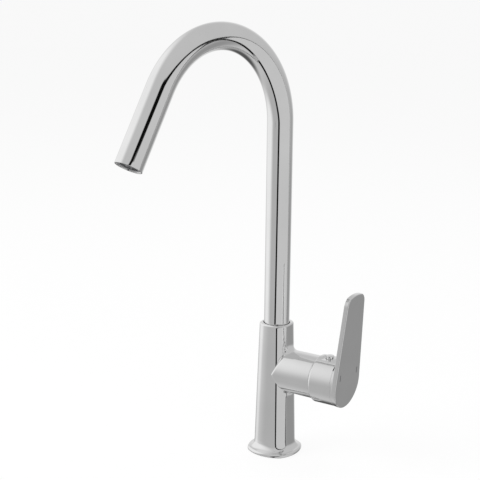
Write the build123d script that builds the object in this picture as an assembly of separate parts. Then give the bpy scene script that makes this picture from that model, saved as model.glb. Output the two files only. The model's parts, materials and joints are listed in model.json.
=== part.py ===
"""Three way kitchen tap: a swan-neck spout, a side lever and a push button for filtered water.

Millimetres. The origin is the centre of the foot on the deck, +Z is up, +X runs along the side
branch that carries the lever, and -Y is the front. The spout stands at `rest_swivel` from straight
ahead. Every piece is one STEP file in parts/, named after the piece.
"""
from math import acos, atan2, cos, radians, sin, sqrt
import os

from build123d import *

# ---------------------------------------------------------------- fits and clearances
running = 0.10              # radial clearance of a turning or sliding fit
seat_gap = 0.05             # gap of a push fit between pieces that do not move on each other
face_gap = 0.30             # gap between faces that pass each other
loose_gap = 0.40            # gap round a piece that swings

# ---------------------------------------------------------------- column and foot
body_top = 133.5            # height of the collar the spout turns in
collar_half = 15.3          # half width of the rounded-square column at the collar
collar_corner = 11.0
column_half = 18.2          # half width where the column meets the deck plane
column_corner = 10.0
side_bow = 60.0             # radius of the column's slightly bowed sides
collar_rim = 1.5            # rounding of the collar's outer edge
foot_half = 26.0
foot_corner = 8.0
foot_bow = 33.0
foot_height = 6.6
foot_shoulder = 4.6         # rounding of the foot's upper edge
foot_under = 1.8            # rounding of the foot's lower edge
foot_blend = 4.0            # hollow between the foot and the column

# ---------------------------------------------------------------- side branch
branch_z = 86.0
branch_r = 21.1
branch_ball_x = 16.5        # centre of the round inner end of the branch
branch_blend = 4.0
seam_x = 49.8               # the lever's cup starts here
seam_gap = 0.4
seam_round = 0.3

# ---------------------------------------------------------------- spout
tube_r = 12.5
tube_wall = 1.2
arc_start = 331.0
arc_radius = 83.0
arc_bend = 150.0
outlet_run = 73.0
rest_swivel = -9.0          # where the spout stands, counted from straight ahead
swivel_each_way = 60.0      # the stop lets it turn this far either side of straight ahead
collar_bore_r = 13.2        # the tube's shadow gap at the collar
collar_bore_depth = 6.0
spigot_r = 11.0
spigot_wall = 2.4
spigot_length = 29.0        # from the glide washer down
spigot_plug = 12.0          # how far the spigot stands up into the tube
spigot_shoulder = 0.7
glide_washer_thick = 1.0
groove_depth = 1.6
o_ring_rise = (4.5, 10.5)   # O-ring grooves, counted from the spigot's lower end
o_ring_groove = 2.2
stop_rise = 18.5            # stop groove, counted from the spigot's lower end
stop_groove = 4.0
stop_screw_r = 2.5
stop_tip_r = 1.5
glide_ring_rise = 24.5
glide_ring_height = 3.0
filter_tube_r = 4.0
filter_tube_wall = 1.1
filter_seat_depth = 6.0

# ---------------------------------------------------------------- outlet
ferrule_wall = 1.35
ferrule_length = 14.0
outlet_recess = 1.2         # how far the outlet plate stands inside the tube's rim
cage_wall = 1.5
cage_length = 8.0
outlet_plate_thick = 1.4
outlet_hole_pitch = 2.6
outlet_hole_r = 0.9
washer_thick = 1.5
nozzle_r = 3.2
nozzle_wall = 0.9
nozzle_socket = 6.0         # how far the nozzle grips the filtered water tube
nozzle_socket_wall = 1.0
cage_hub_wall = 1.2
cage_spoke = 2.0            # height of the cage's hub and spokes

# ---------------------------------------------------------------- underside
inlet_r = 4.5               # core of the M10 x 1 thread
inlet_depth = 14.0
inlet_pcr = 10.5            # the three inlets lie on this radius
inlet_angle = {"hot": -60.0, "cold": 60.0, "filtered": 180.0}
stud_r = 3.4                # core of the M8 fixing thread
stud_depth = 18.0
way_r = 2.8                 # drilled water ways
base_seal_r = 20.4          # centre line of the seal under the foot
base_seal_half = 1.8
base_seal_depth = 2.2

# ---------------------------------------------------------------- cartridge, along the branch axis
chamber_floor = 16.0
chamber_r = 17.7
nut_thread_r = 18.9
nut_thread_start = 38.0
cartridge_r = 17.4
cartridge_base_thick = 3.7
disc_r = 15.6
disc_thick = 3.15
moving_disc_r = 12.4
moving_disc_thick = 2.95
carrier_thick = 5.2
carrier_relief = 0.9        # wider mouth of the carrier's bore, for the tilted spindle
ball_r = 2.6
rotor_start = 32.2
rotor_flange_thick = 5.6
rotor_r = 15.6
rotor_neck_r = 10.0
rotor_end = 44.5
housing_wall = 1.5
housing_roof = 1.9
pivot_x = 37.2
pin_r = 1.5
pin_length = 20.0
nut_inner_r = 15.2
nut_length = 9.0
ring_inner_r = 13.4
lug_inner_r = 11.4
lug_width = 12.0            # degrees
turn_forward = 45.0         # mixed water sector, towards the user
turn_back = 75.0            # mixed sector and then the filtered water sector
lift_range = 22.0
stop_lug_share = 6.0        # half the turning stop's width, as an angle
stop_lug_play = 1.0
stop_lug_inner_r = 13.2
peg_r = 1.5
peg_at = ((13.5, 145.0), (13.5, -60.0))
port_at = {"hot": (-9.1, -5.0), "cold": (9.1, -5.0), "filtered_in": (0.0, -10.0),
           "filtered_out": (-2.0, 7.5), "mixed_out": (8.5, 5.0)}
port_seal_wall = 1.2
port_seal_depth = 1.2

# ---------------------------------------------------------------- lever
lean = 4.9                  # degrees the lever's face leans away from the column
plate_back_x = 76.4         # back of the lever plate on the branch axis
plate_thick = 4.5
paddle_top = 90.5
paddle_top_half = 16.4      # half width just under the rounded top
paddle_shoulder = 80.0      # height of that width above the branch axis
paddle_corner = 8.0
plate_edge = 0.8
cup_swell = 2.2             # how far the cup stands out from the branch
cup_step = 0.5              # and how far its mouth does, at the seam
cup_lip = 0.35              # wall at the mouth
cup_wall = 3.1              # wall at the floor
cup_flare = 3.6             # length of the swelling from mouth to full radius
plate_proud = 0.3           # the plate is a hair wider than the cup
cup_end_x = 74.3            # the plate's collar fills from here to its leaning back
cup_end_round = 1.2
cup_floor = 3.0
tongue_half = 10.8
tongue_gap = 0.8
tongue_depth = 9.3          # how far the tongue's root reaches in from the crown
notch_half = 16.4           # at the cup's end the slot runs on to this half width
notch_width = 0.9
spindle_half = 4.0
spindle_end = 69.0
spindle_neck_r = 3.4
spindle_eye_r = 5.0
grip_r = 8.4
grip_start = 59.0
grub_r = 2.5
grub_length = 5.4
plug_thick = 1.6
joint_screw_y = 15.0
joint_screw_r = 1.6
joint_screw_head_r = 3.0
joint_screw_head = 1.6
joint_screw_bite = 3.0
mark_y = 15.8
mark_s = 10.6
mark_length = 6.5
mark_width = 1.0
mark_depth = 0.3

# ---------------------------------------------------------------- push button
button_x = 61.2
button_r = 4.0
button_travel = 2.0
button_head = 4.1
button_dome = 0.3
button_stand = 1.4          # how far the button's edge stands above the tongue's crown
spot_depth = 1.6            # the flat round the button lies this far under the tongue's crown
spot_start = 56.4
spot_end = 66.4
button_edge_round = 0.3
button_gap = 0.35
button_well_wall = 1.5
well_floor = 1.2
well_bottom = 13.0
stem_r = 1.8
arm_thick = 1.7
arm_half = 1.6
arm_tip_x = 46.8
spring_wire_r = 0.3
spring_mean_r = 3.1
spring_turns = 4

# ---------------------------------------------------------------- places worked out from them
recess_floor = body_top - collar_bore_depth
washer_top = recess_floor + seat_gap + glide_washer_thick
shoulder_low = washer_top + seat_gap
spigot_low = shoulder_low - spigot_length
spigot_bore_r = spigot_r + running
spigot_bore_floor = spigot_low - face_gap
spigot_inner_r = spigot_r - spigot_wall
tube_low = shoulder_low + spigot_shoulder + seat_gap
tube_inner_r = tube_r - tube_wall
groove_r = spigot_r - groove_depth
filter_low = spigot_bore_floor - filter_seat_depth + face_gap
stop_z = spigot_low + stop_rise
ferrule_r = tube_inner_r - seat_gap
ferrule_inner_r = ferrule_r - ferrule_wall
cage_r = ferrule_inner_r - seat_gap
cage_inner_r = cage_r - cage_wall
cage_top = outlet_recess + cage_length
nozzle_step = 1.2           # the nozzle's shoulder stands this thick on the cage's hub

cup_r = branch_r + cup_swell
cup_mouth_r = branch_r + cup_step
cup_mouth_inner_r = cup_mouth_r - cup_lip
cup_floor_inner_r = cup_r - cup_wall
plate_r = cup_r + plate_proud
spot_height = cup_r - spot_depth
tongue_low = cup_r - tongue_depth
beyond_cup = cup_r + 7.0     # well outside the cup, for cuts that pass right through
base_start = chamber_floor + face_gap
base_end = base_start + cartridge_base_thick
disc_start = base_end + seat_gap
disc_end = disc_start + disc_thick
moving_start = disc_end + seat_gap
moving_end = moving_start + moving_disc_thick
carrier_start = moving_end + seat_gap
ball_x = carrier_start + ball_r + face_gap
ball_arm = pivot_x - ball_x
rotor_flange_end = rotor_start + rotor_flange_thick
roof_start = rotor_flange_end + face_gap
roof_end = roof_start + housing_roof
nut_start = roof_end + seat_gap
nut_end = nut_start + nut_length
arm_top = well_bottom - seat_gap
arm_low = arm_top - arm_thick
button_edge = cup_r + button_stand
button_under = button_edge - button_head
spring_low = well_bottom + well_floor + seat_gap
spring_high = button_under - seat_gap


branch_axis = Axis((0, 0, branch_z), (1, 0, 0))


# ---------------------------------------------------------------- shape helpers
def bowed_square(half, corner, bow):
    """Face in the XY plane: a square with bowed sides of radius `bow` and rounded corners."""
    side_centre = half - bow
    reach = bow - corner
    diagonal = (side_centre + sqrt(2 * reach ** 2 - side_centre ** 2)) / 2
    along = (diagonal - side_centre) / reach
    across = diagonal / reach
    side_end = Vector(side_centre + bow * along, bow * across)
    corner_mid = Vector(diagonal + corner / sqrt(2), diagonal + corner / sqrt(2))
    corner_end = Vector(side_end.Y, side_end.X)
    edges = []
    for quarter in range(4):
        turn = 90 * quarter
        side = ThreePointArc((side_end.X, -side_end.Y), (half, 0), side_end)
        round_corner = ThreePointArc(side_end, corner_mid, corner_end)
        edges += [side.rotate(Axis.Z, turn), round_corner.rotate(Axis.Z, turn)]
    return make_face(edges)


def along_branch(start, end, radius, y=0.0, z=0.0):
    """Round bar along the branch, from x = start to x = end; y and z count from its axis."""
    bar = Cylinder(radius, end - start, align=(Align.CENTER, Align.CENTER, Align.MIN))
    return Pos(start, y, branch_z + z) * Rot(0, 90, 0) * bar


def branch_ring(start, end, outer, inner, y=0.0, z=0.0):
    return along_branch(start, end, outer, y, z) - along_branch(start - 1, end + 1, inner, y, z)


def upright(x, y, low, high, radius):
    """Round bar along Z."""
    bar = Cylinder(radius, high - low, align=(Align.CENTER, Align.CENTER, Align.MIN))
    return Pos(x, y, low) * bar


def upright_ring(low, high, outer, inner):
    return upright(0, 0, low, high, outer) - upright(0, 0, low - 1, high + 1, inner)


def wedge(half_angle, low, high):
    """Upright sector of a disc, to either side of +X, wider than any piece it is used on."""
    reach = 30.0
    ends = [(reach * cos(radians(a)), reach * sin(radians(a))) for a in (-half_angle, half_angle)]
    arc = ThreePointArc(ends[0], (reach, 0), ends[1])
    face = make_face([Line((0, 0), ends[0]), arc, Line(ends[1], (0, 0))])
    return Pos(0, 0, low) * extrude(face, high - low)


def block(x_span, y_span, z_span):
    """Box from its three spans."""
    size = [b - a for a, b in (x_span, y_span, z_span)]
    corner = [a for a, b in (x_span, y_span, z_span)]
    return Pos(*corner) * Box(*size, align=(Align.MIN, Align.MIN, Align.MIN))


def branch_block(x_span, y_span, z_span):
    """Box whose z span counts from the branch axis."""
    return block(x_span, y_span, [branch_z + z for z in z_span])


def on_plate(x, y, s):
    """Place in the lever plate's own frame: x out of its back face, y across it, s up it."""
    return Pos(plate_back_x, 0, branch_z) * Rot(0, lean, 0) * Pos(x, y, s)


def before_plate(offset):
    """Half space on the column's side of the plate's back face, moved by `offset`."""
    size = 200.0
    return on_plate(offset - size / 2, 0, 0) * Box(size, size, size)


def spout_path(start, run):
    """Centre line of the spout from height `start` to `run` past the end of the bend."""
    rise = Line((0, 0, start), (0, 0, arc_start))
    half_turn = radians(arc_bend / 2)
    turn = radians(arc_bend)
    middle = (0, -arc_radius * (1 - cos(half_turn)), arc_start + arc_radius * sin(half_turn))
    bend_end = Vector(0, -arc_radius * (1 - cos(turn)), arc_start + arc_radius * sin(turn))
    bend = ThreePointArc((0, 0, arc_start), middle, bend_end)
    direction = Vector(0, -sin(turn), cos(turn))
    return Wire([rise, bend, Line(bend_end, bend_end + direction * run)])


def swept_pipe(start, run, outer, inner):
    path = spout_path(start, run)
    section = Pos(0, 0, start) * Circle(outer)
    hole = Pos(0, 0, start) * Circle(inner)
    return sweep(section, path) - sweep(hole, path)


def at_outlet(piece):
    """Carries a piece drawn upright, with z = 0 at the outlet and +z upstream, to the outlet."""
    turn = radians(arc_bend)
    end_y = -arc_radius * (1 - cos(turn)) - outlet_run * sin(turn)
    end_z = arc_start + arc_radius * sin(turn) + outlet_run * cos(turn)
    return Pos(0, end_y, end_z) * Rot(arc_bend - 180, 0, 0) * piece


def turned(piece):
    """Swings a spout piece from straight ahead to where the spout stands."""
    return piece.rotate(Axis.Z, rest_swivel)


# ---------------------------------------------------------------- fixed pieces
def water_ways():
    """Drillings from the three inlets to the cartridge and from there to the spout."""
    ways = []
    for name in ("hot", "cold", "filtered"):
        angle = radians(inlet_angle[name])
        x, y = inlet_pcr * cos(angle), inlet_pcr * sin(angle)
        port_y, port_z = port_at["filtered_in" if name == "filtered" else name]
        ways.append(upright(x, y, -1, inlet_depth, inlet_r))
        ways.append(upright(x, y, inlet_depth - 1, branch_z + port_z, way_r))
        ways.append(Pos(x, y, branch_z + port_z) * Sphere(way_r))
        ways.append(along_branch(x, chamber_floor + 1, way_r, port_y, port_z))
    out_y, out_z = port_at["filtered_out"]
    ways.append(along_branch(-way_r, chamber_floor + 1, way_r, out_y, out_z))
    ways.append(upright(0, 0, branch_z + out_z, spigot_bore_floor + 1, way_r))
    seat_low = spigot_bore_floor - filter_seat_depth
    ways.append(upright(0, 0, seat_low, spigot_bore_floor + 1, filter_tube_r + running))
    mix_y, mix_z = port_at["mixed_out"]
    ways.append(along_branch(0, chamber_floor + 1, way_r, mix_y, mix_z))
    rise_y = spigot_bore_r - way_r
    ways.append(upright(1.0, rise_y, branch_z + mix_z, spigot_bore_floor + 1, way_r))
    return ways


def body_casting():
    column = loft([bowed_square(column_half, column_corner, side_bow),
                   Pos(0, 0, body_top) * bowed_square(collar_half, collar_corner, side_bow)])
    foot = extrude(bowed_square(foot_half, foot_corner, foot_bow), foot_height)
    upper = [e for e in foot.edges() if e.center().Z > foot_height - 0.01]
    foot = fillet(upper, foot_shoulder)
    lower = [e for e in foot.edges() if e.center().Z < 0.01]
    foot = fillet(lower, foot_under)
    shell = column + foot
    joint = [e for e in shell.edges() if abs(e.center().Z - foot_height) < 0.05
             and max(abs(e.center().X), abs(e.center().Y)) < column_half + 0.5]
    shell = fillet(joint, foot_blend)
    rim = [e for e in shell.edges() if e.center().Z > body_top - 0.01]
    shell = fillet(rim, collar_rim)
    branch = along_branch(branch_ball_x, seam_x - seam_gap, branch_r)
    branch = fillet(branch.edges().filter_by(GeomType.CIRCLE).sort_by(Axis.X)[-1], seam_round)
    branch += Pos(branch_ball_x, 0, branch_z) * Sphere(branch_r)
    before = {edge_key(e) for e in shell.edges() + branch.edges()}
    casting = shell + branch
    blend = [e for e in casting.edges() if edge_key(e) not in before
             and abs(e.center().Z - branch_z) < branch_r + 1]
    casting = fillet(blend, branch_blend)
    casting -= upright(0, 0, recess_floor, body_top + 1, collar_bore_r)
    casting -= upright(0, 0, spigot_bore_floor, body_top, spigot_bore_r)
    casting -= along_branch(chamber_floor, seam_x + 10, chamber_r)
    casting -= along_branch(nut_thread_start, seam_x + 10, nut_thread_r)
    for way in water_ways():
        casting -= way
    casting -= upright(0, 0, -1, stud_depth, stud_r)
    groove = upright_ring(-1, base_seal_depth, base_seal_r + base_seal_half + running,
                          base_seal_r - base_seal_half - running)
    casting -= groove
    casting -= stop_screw_bore()
    for peg in pegs(peg_r + running, chamber_floor - 3, chamber_floor + 1):
        casting -= peg
    return casting


def edge_key(edge):
    centre = edge.center()
    return (round(centre.X, 3), round(centre.Y, 3), round(centre.Z, 3), round(edge.length, 3))


def stop_screw_bore():
    bar = Cylinder(stop_screw_r, 30, align=(Align.CENTER, Align.CENTER, Align.MIN))
    return Pos(0, spigot_bore_r - 1, stop_z) * Rot(-90, 0, 0) * bar


def pegs(radius, start, end):
    return [along_branch(start, end, radius, reach * cos(radians(a)), reach * sin(radians(a)))
            for reach, a in peg_at]


def base_seal():
    return upright_ring(0, base_seal_depth - face_gap, base_seal_r + base_seal_half,
                        base_seal_r - base_seal_half)


def spout_stop_screw():
    """Grub screw in the back of the column; its tip runs in the spigot's stop groove."""
    screw_end = collar_half - 0.6
    shank = Cylinder(stop_screw_r - seat_gap, screw_end - spigot_bore_r - 0.2,
                     align=(Align.CENTER, Align.CENTER, Align.MIN))
    shank = chamfer(shank.edges().sort_by(Axis.Z)[-1], 0.3)
    socket = Pos(0, 0, screw_end - spigot_bore_r - 2.0) * extrude(RegularPolygon(1.25, 6), 3)
    tip = Pos(0, 0, 0.1) * Cylinder(stop_tip_r, groove_depth,
                                    align=(Align.CENTER, Align.CENTER, Align.MAX))
    screw = shank - socket + tip
    return Pos(0, spigot_bore_r + 0.2, stop_z) * Rot(-90, 0, 0) * screw


def cartridge_base():
    base = along_branch(base_start, base_end, cartridge_r)
    for y, z in port_at.values():
        base -= along_branch(base_start - 1, base_end + 1, way_r, y, z)
        base -= along_branch(base_start - 1, base_start + port_seal_depth,
                             way_r + port_seal_wall + running, y, z)
    for peg in pegs(peg_r, chamber_floor - 2.5, base_start + 1):
        base += peg
    return base


def port_seals():
    rings = []
    for y, z in port_at.values():
        rings.append(branch_ring(chamber_floor + seat_gap, base_start + port_seal_depth - seat_gap,
                                 way_r + port_seal_wall, way_r, y, z))
    return Compound(children=rings)


def fixed_disc():
    disc = along_branch(disc_start, disc_end, disc_r)
    for y, z in port_at.values():
        disc -= along_branch(disc_start - 1, disc_end + 1, way_r, y, z)
    return disc


def cartridge_housing():
    inner = disc_r + running
    housing = along_branch(base_end + seat_gap, roof_end, cartridge_r)
    housing -= along_branch(base_end - 1, roof_start, inner)
    housing -= along_branch(roof_start - 1, roof_end + 1, rotor_neck_r + running)
    middle = 180 - (turn_back - turn_forward) / 2
    lug = lower_sector(stop_lug_share, rotor_start + face_gap, roof_start + 0.5)
    lug = lug & branch_ring(rotor_start, roof_end, disc_r + 0.6, stop_lug_inner_r)
    return housing + lug.rotate(branch_axis, middle - 180)


def lower_sector(half_angle, start, end):
    """Sector about the branch axis, to either side of straight down."""
    return Pos(0, 0, branch_z) * Rot(0, 90, 0) * wedge(half_angle, start, end)


def cartridge_nut():
    """Ring nut with six key slots that holds the cartridge in the branch."""
    nut = branch_ring(nut_start, nut_end, nut_thread_r - seat_gap, nut_inner_r)
    slot = branch_block((nut_end - 2.0, nut_end + 1), (-1.6, 1.6), (nut_inner_r - 1, nut_thread_r + 1))
    for sixth in range(6):
        nut -= slot.rotate(branch_axis, 60 * sixth + 30)
    return nut


def stop_ring():
    """Ring inside the nut whose two lugs end the lever's turn by stopping the latch arm."""
    ring = branch_ring(nut_start + 1.0, nut_end - 0.5, nut_inner_r - seat_gap, ring_inner_r)
    arm_share = 8.2                        # half the latch arm's width as an angle
    lug = branch_block((nut_start + 1.0, nut_end - 0.5), (-1.2, 1.2), (lug_inner_r, ring_inner_r + 0.5))
    for limit in (turn_forward, -turn_back):
        beyond = arm_share + lug_width / 2 + 1.0
        angle = limit + beyond if limit > 0 else limit - beyond
        ring += lug.rotate(branch_axis, angle)
    return ring


# ---------------------------------------------------------------- spout pieces
def spout_tube():
    tube = swept_pipe(tube_low, outlet_run, tube_r, tube_inner_r)
    return turned(tube)


def spout_spigot():
    outer = upright(0, 0, spigot_low, shoulder_low + 0.1, spigot_r)
    outer += upright(0, 0, shoulder_low, shoulder_low + spigot_shoulder, tube_r - 0.1)
    outer += upright(0, 0, shoulder_low, shoulder_low + spigot_plug, tube_inner_r - seat_gap)
    outer -= upright(0, 0, spigot_low - 1, shoulder_low + spigot_plug + 1, spigot_inner_r)
    for rise in o_ring_rise:
        low = spigot_low + rise - o_ring_groove / 2
        outer -= upright_ring(low, low + o_ring_groove, spigot_r + 1, groove_r)
    low = spigot_low + glide_ring_rise - glide_ring_height / 2
    outer -= upright_ring(low - running, low + glide_ring_height + running, spigot_r + 1,
                          groove_r)
    outer -= stop_groove_cut()
    return turned(outer)


def stop_groove_cut():
    """Groove round part of the spigot, as long as the swivel and the screw's tip need."""
    tip_share = 9.5                        # half the screw tip's width as an angle, with its play
    low = stop_z - stop_groove / 2
    sector = wedge(swivel_each_way + tip_share, low, low + stop_groove).rotate(Axis.Z, 90)
    return sector - upright(0, 0, low - 1, low + stop_groove + 1, groove_r)


def spout_o_rings():
    """Two O-rings, drawn as pressed to the bore's running size."""
    section = (spigot_r - groove_r - seat_gap) / 2
    centre = groove_r + seat_gap + section
    rings = [Pos(0, 0, spigot_low + rise) * Torus(centre, section) for rise in o_ring_rise]
    return turned(Compound(children=rings))


def spout_glide_ring():
    low = spigot_low + glide_ring_rise - glide_ring_height / 2
    return turned(upright_ring(low, low + glide_ring_height, spigot_r + 0.04, groove_r + seat_gap))


def glide_washer():
    ring = upright_ring(recess_floor + seat_gap, washer_top, collar_bore_r - face_gap,
                        spigot_r + running)
    return turned(ring)


def filter_tube():
    """Plastic tube that carries filtered water through the spout, apart from the mixed water."""
    end = outlet_run - cage_top - nozzle_step
    return turned(swept_pipe(filter_low, end, filter_tube_r, filter_tube_r - filter_tube_wall))


def outlet_ferrule():
    ferrule = upright_ring(0.8, 0.8 + ferrule_length, ferrule_r, ferrule_inner_r)
    ledge_low = cage_top + washer_thick + 2 * seat_gap
    ferrule += upright_ring(ledge_low, ledge_low + 1.2, ferrule_r - 0.2, cage_inner_r - 0.4)
    return turned(at_outlet(ferrule))


def outlet_washer():
    low = cage_top + seat_gap
    return turned(at_outlet(upright_ring(low, low + washer_thick, cage_r - 0.1, cage_inner_r)))


def outlet_cage():
    """Threaded ring with three spokes that hold the filtered water nozzle in its middle."""
    cage = upright_ring(outlet_recess, cage_top, cage_r, cage_inner_r)
    spoke_low = cage_top - cage_spoke
    hub = upright_ring(spoke_low, cage_top, nozzle_r + cage_hub_wall, nozzle_r + seat_gap)
    for third in range(3):
        reach = (nozzle_r + cage_hub_wall / 2, cage_inner_r + 0.4)
        spoke = block(reach, (-0.8, 0.8), (spoke_low, cage_top))
        cage += spoke.rotate(Axis.Z, 120 * third + 30)
    return turned(at_outlet(cage + hub))


def filter_nozzle():
    """Central nozzle pushed over the end of the filtered water tube."""
    socket_low = cage_top + seat_gap
    tube_end = cage_top + nozzle_step
    socket_top = tube_end + nozzle_socket
    nozzle = upright(0, 0, outlet_recess, tube_end, nozzle_r)
    nozzle += upright(0, 0, socket_low, socket_top, filter_tube_r + nozzle_socket_wall)
    nozzle -= upright(0, 0, tube_end - seat_gap, socket_top + 1, filter_tube_r + seat_gap)
    nozzle -= upright(0, 0, outlet_recess - 1, tube_end + 1, nozzle_r - nozzle_wall)
    return turned(at_outlet(nozzle))


def outlet_plate():
    """Perforated plate that shapes the mixed water stream round the nozzle."""
    low = outlet_recess + 0.3
    plate = upright_ring(low, low + outlet_plate_thick, cage_inner_r - seat_gap,
                         nozzle_r + seat_gap)
    rows = int(cage_inner_r / outlet_hole_pitch) + 1
    holes = []
    for row in range(-rows, rows + 1):
        for column in range(-rows - 1, rows + 2):
            x = outlet_hole_pitch * (column + 0.5 * (row % 2))
            y = outlet_hole_pitch * row * sqrt(3) / 2
            inner = nozzle_r + outlet_hole_r + 0.5
            outer = cage_inner_r - outlet_hole_r - 0.4
            if inner < sqrt(x * x + y * y) < outer:
                holes.append(Pos(x, y, low - 1) * extrude(RegularPolygon(outlet_hole_r, 6),
                                                          outlet_plate_thick + 2))
    for hole in holes:
        plate -= hole
    return turned(at_outlet(plate))


# ---------------------------------------------------------------- cartridge pieces that move
def rotor():
    """Turns with the lever about the branch axis and lets the spindle rock in its slot."""
    body = along_branch(rotor_start, rotor_flange_end, rotor_r)
    turn = (turn_forward + turn_back) / 2 + stop_lug_share + stop_lug_play
    gap = lower_sector(turn, rotor_start - 1, rotor_flange_end + 1)
    body -= gap - along_branch(rotor_start - 2, rotor_flange_end + 2, stop_lug_inner_r - face_gap)
    body += along_branch(rotor_start, rotor_end, rotor_neck_r)
    slot = spindle_half + 0.2
    swing = sin(radians(lift_range))
    body -= branch_block((rotor_start - 1, pivot_x), (-slot, slot),
                         (-spindle_neck_r - 0.6,
                          spindle_neck_r + 0.6 + (pivot_x - rotor_start) * swing))
    low_side = spindle_half / cos(radians(lift_range)) + (rotor_end - pivot_x) * swing + loose_gap
    body -= branch_block((pivot_x, rotor_end + 1), (-slot, slot),
                         (-low_side, spindle_half + loose_gap))
    eye = Cylinder(spindle_eye_r + loose_gap, 2 * slot)
    body -= Pos(pivot_x, 0, branch_z) * Rot(90, 0, 0) * eye
    body -= Pos(pivot_x, 0, branch_z) * Rot(90, 0, 0) * Cylinder(pin_r + seat_gap, 60)
    return body


def spindle_pin():
    return Pos(pivot_x, 0, branch_z) * Rot(90, 0, 0) * Cylinder(pin_r, pin_length)


def moving_disc():
    """Ceramic disc whose pocket joins the ports of the fixed disc."""
    disc = along_branch(moving_start, moving_end, moving_disc_r)
    pocket = along_branch(moving_start - 1, moving_start + 1.6, 5.2, 0, 4.6)
    return disc - pocket


def disc_carrier():
    carrier = along_branch(carrier_start, carrier_start + carrier_thick, moving_disc_r)
    carrier -= along_branch(carrier_start - 1, carrier_start + carrier_thick + 1, ball_r + 0.15)
    return carrier - along_branch(ball_x + 0.9, carrier_start + carrier_thick + 1,
                                  ball_r + carrier_relief)


def spindle():
    """Rocker that joins the lever to the disc carrier: ball, neck, eye and square end."""
    bar = along_branch(ball_x, pivot_x, spindle_neck_r - 1.2)
    bar += Pos(ball_x, 0, branch_z) * Sphere(ball_r)
    half = spindle_half
    eye = Pos(pivot_x, 0, branch_z) * Rot(90, 0, 0) * Cylinder(spindle_eye_r, 2 * half)
    bar += eye
    bar += branch_block((pivot_x, spindle_end), (-half, half), (-half, half))
    return bar - Pos(pivot_x, 0, branch_z) * Rot(90, 0, 0) * Cylinder(pin_r + running, 60)


# ---------------------------------------------------------------- lever
def cup_profile(end):
    """Radius against distance from the seam; the swelling is an S of two arcs."""
    middle = (cup_mouth_r + cup_r) / 2
    half_rise = (cup_r - cup_mouth_r) / 2
    half_run = cup_flare / 2
    bend = (half_rise ** 2 + half_run ** 2) / (2 * half_rise)
    share = atan2(half_run, bend - half_rise) / 2
    sag = (bend * sin(share), bend * (1 - cos(share)))
    hollow = ThreePointArc((cup_mouth_r, 0), (cup_mouth_r + sag[1], sag[0]), (middle, half_run))
    crown = ThreePointArc((middle, half_run), (cup_r - sag[1], cup_flare - sag[0]),
                          (cup_r, cup_flare))
    rest = Polyline((cup_r, cup_flare), (cup_r, end - seam_x), (0, end - seam_x), (0, 0),
                    (cup_mouth_r, 0))
    return make_face([hollow, crown, rest])


def cup_outer(end):
    """Outside of the cup, out to x = end: it swells from the seam to the plate's radius."""
    round_bar = revolve(Plane.XZ * cup_profile(end), Axis.Z)
    return Pos(seam_x, 0, branch_z) * Rot(0, 90, 0) * round_bar


def cup_hollow():
    span = cup_end_x - cup_floor - seam_x
    cone = Cone(cup_mouth_inner_r, cup_floor_inner_r, span,
                align=(Align.CENTER, Align.CENTER, Align.MIN))
    return Pos(seam_x, 0, branch_z) * Rot(0, 90, 0) * cone


def tongue_box(half):
    return branch_block((seam_x - 10, cup_end_x + 20), (-half, half),
                        (tongue_low - 1.3, beyond_cup))


def lever_cup():
    """Cup of the lever: it hides the cartridge and grips the spindle."""
    outer = cup_outer(cup_end_x)
    outer = fillet(outer.edges().filter_by(GeomType.CIRCLE).sort_by(Axis.X)[-1], cup_end_round)
    cup = outer - cup_hollow()
    cup += along_branch(grip_start, cup_end_x - 0.5, grip_r)
    pad = branch_block((grip_start, grip_start + 10), (-4.5, 4.5), (-spindle_half - 6.0, 0))
    cup += pad
    socket = spindle_half + seat_gap
    cup -= branch_block((grip_start - 1, spindle_end + face_gap), (-socket, socket),
                        (-socket, socket))
    cup -= tongue_box(tongue_half + tongue_gap)
    cup -= branch_block((cup_end_x - notch_width, cup_end_x + 5), (-notch_half, notch_half),
                        (tongue_low - 1.3, beyond_cup))
    cup -= grub_bore(grub_r, -spindle_half - 8.0, 0)
    cup -= grub_bore(grub_r + 0.6, -beyond_cup, -spindle_half - 7.0)
    for y in (-joint_screw_y, joint_screw_y):
        cup -= along_branch(cup_end_x - 10, cup_end_x + 10, joint_screw_r + running, y)
    return cup


def grub_bore(radius, low, high):
    return upright(grip_start + 5.0, 0, branch_z + low, branch_z + high, radius)


def grub_screw():
    high = -spindle_half - seat_gap
    low = high - grub_length
    screw = grub_bore(grub_r - seat_gap, low, high)
    socket = Pos(grip_start + 5.0, 0, branch_z + low - 1) * extrude(RegularPolygon(1.4, 6), 3.2)
    return screw - socket


def screw_plug():
    """Cap in the key hole under the cup, flush with the cup's outside."""
    plug = grub_bore(grub_r + 0.6 - seat_gap, -beyond_cup, 0) & cup_outer(cup_end_x)
    keep = branch_block((grip_start - 5, grip_start + 20), (-5, 5),
                        (-beyond_cup, plug_thick - cup_r))
    return plug & keep


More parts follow.
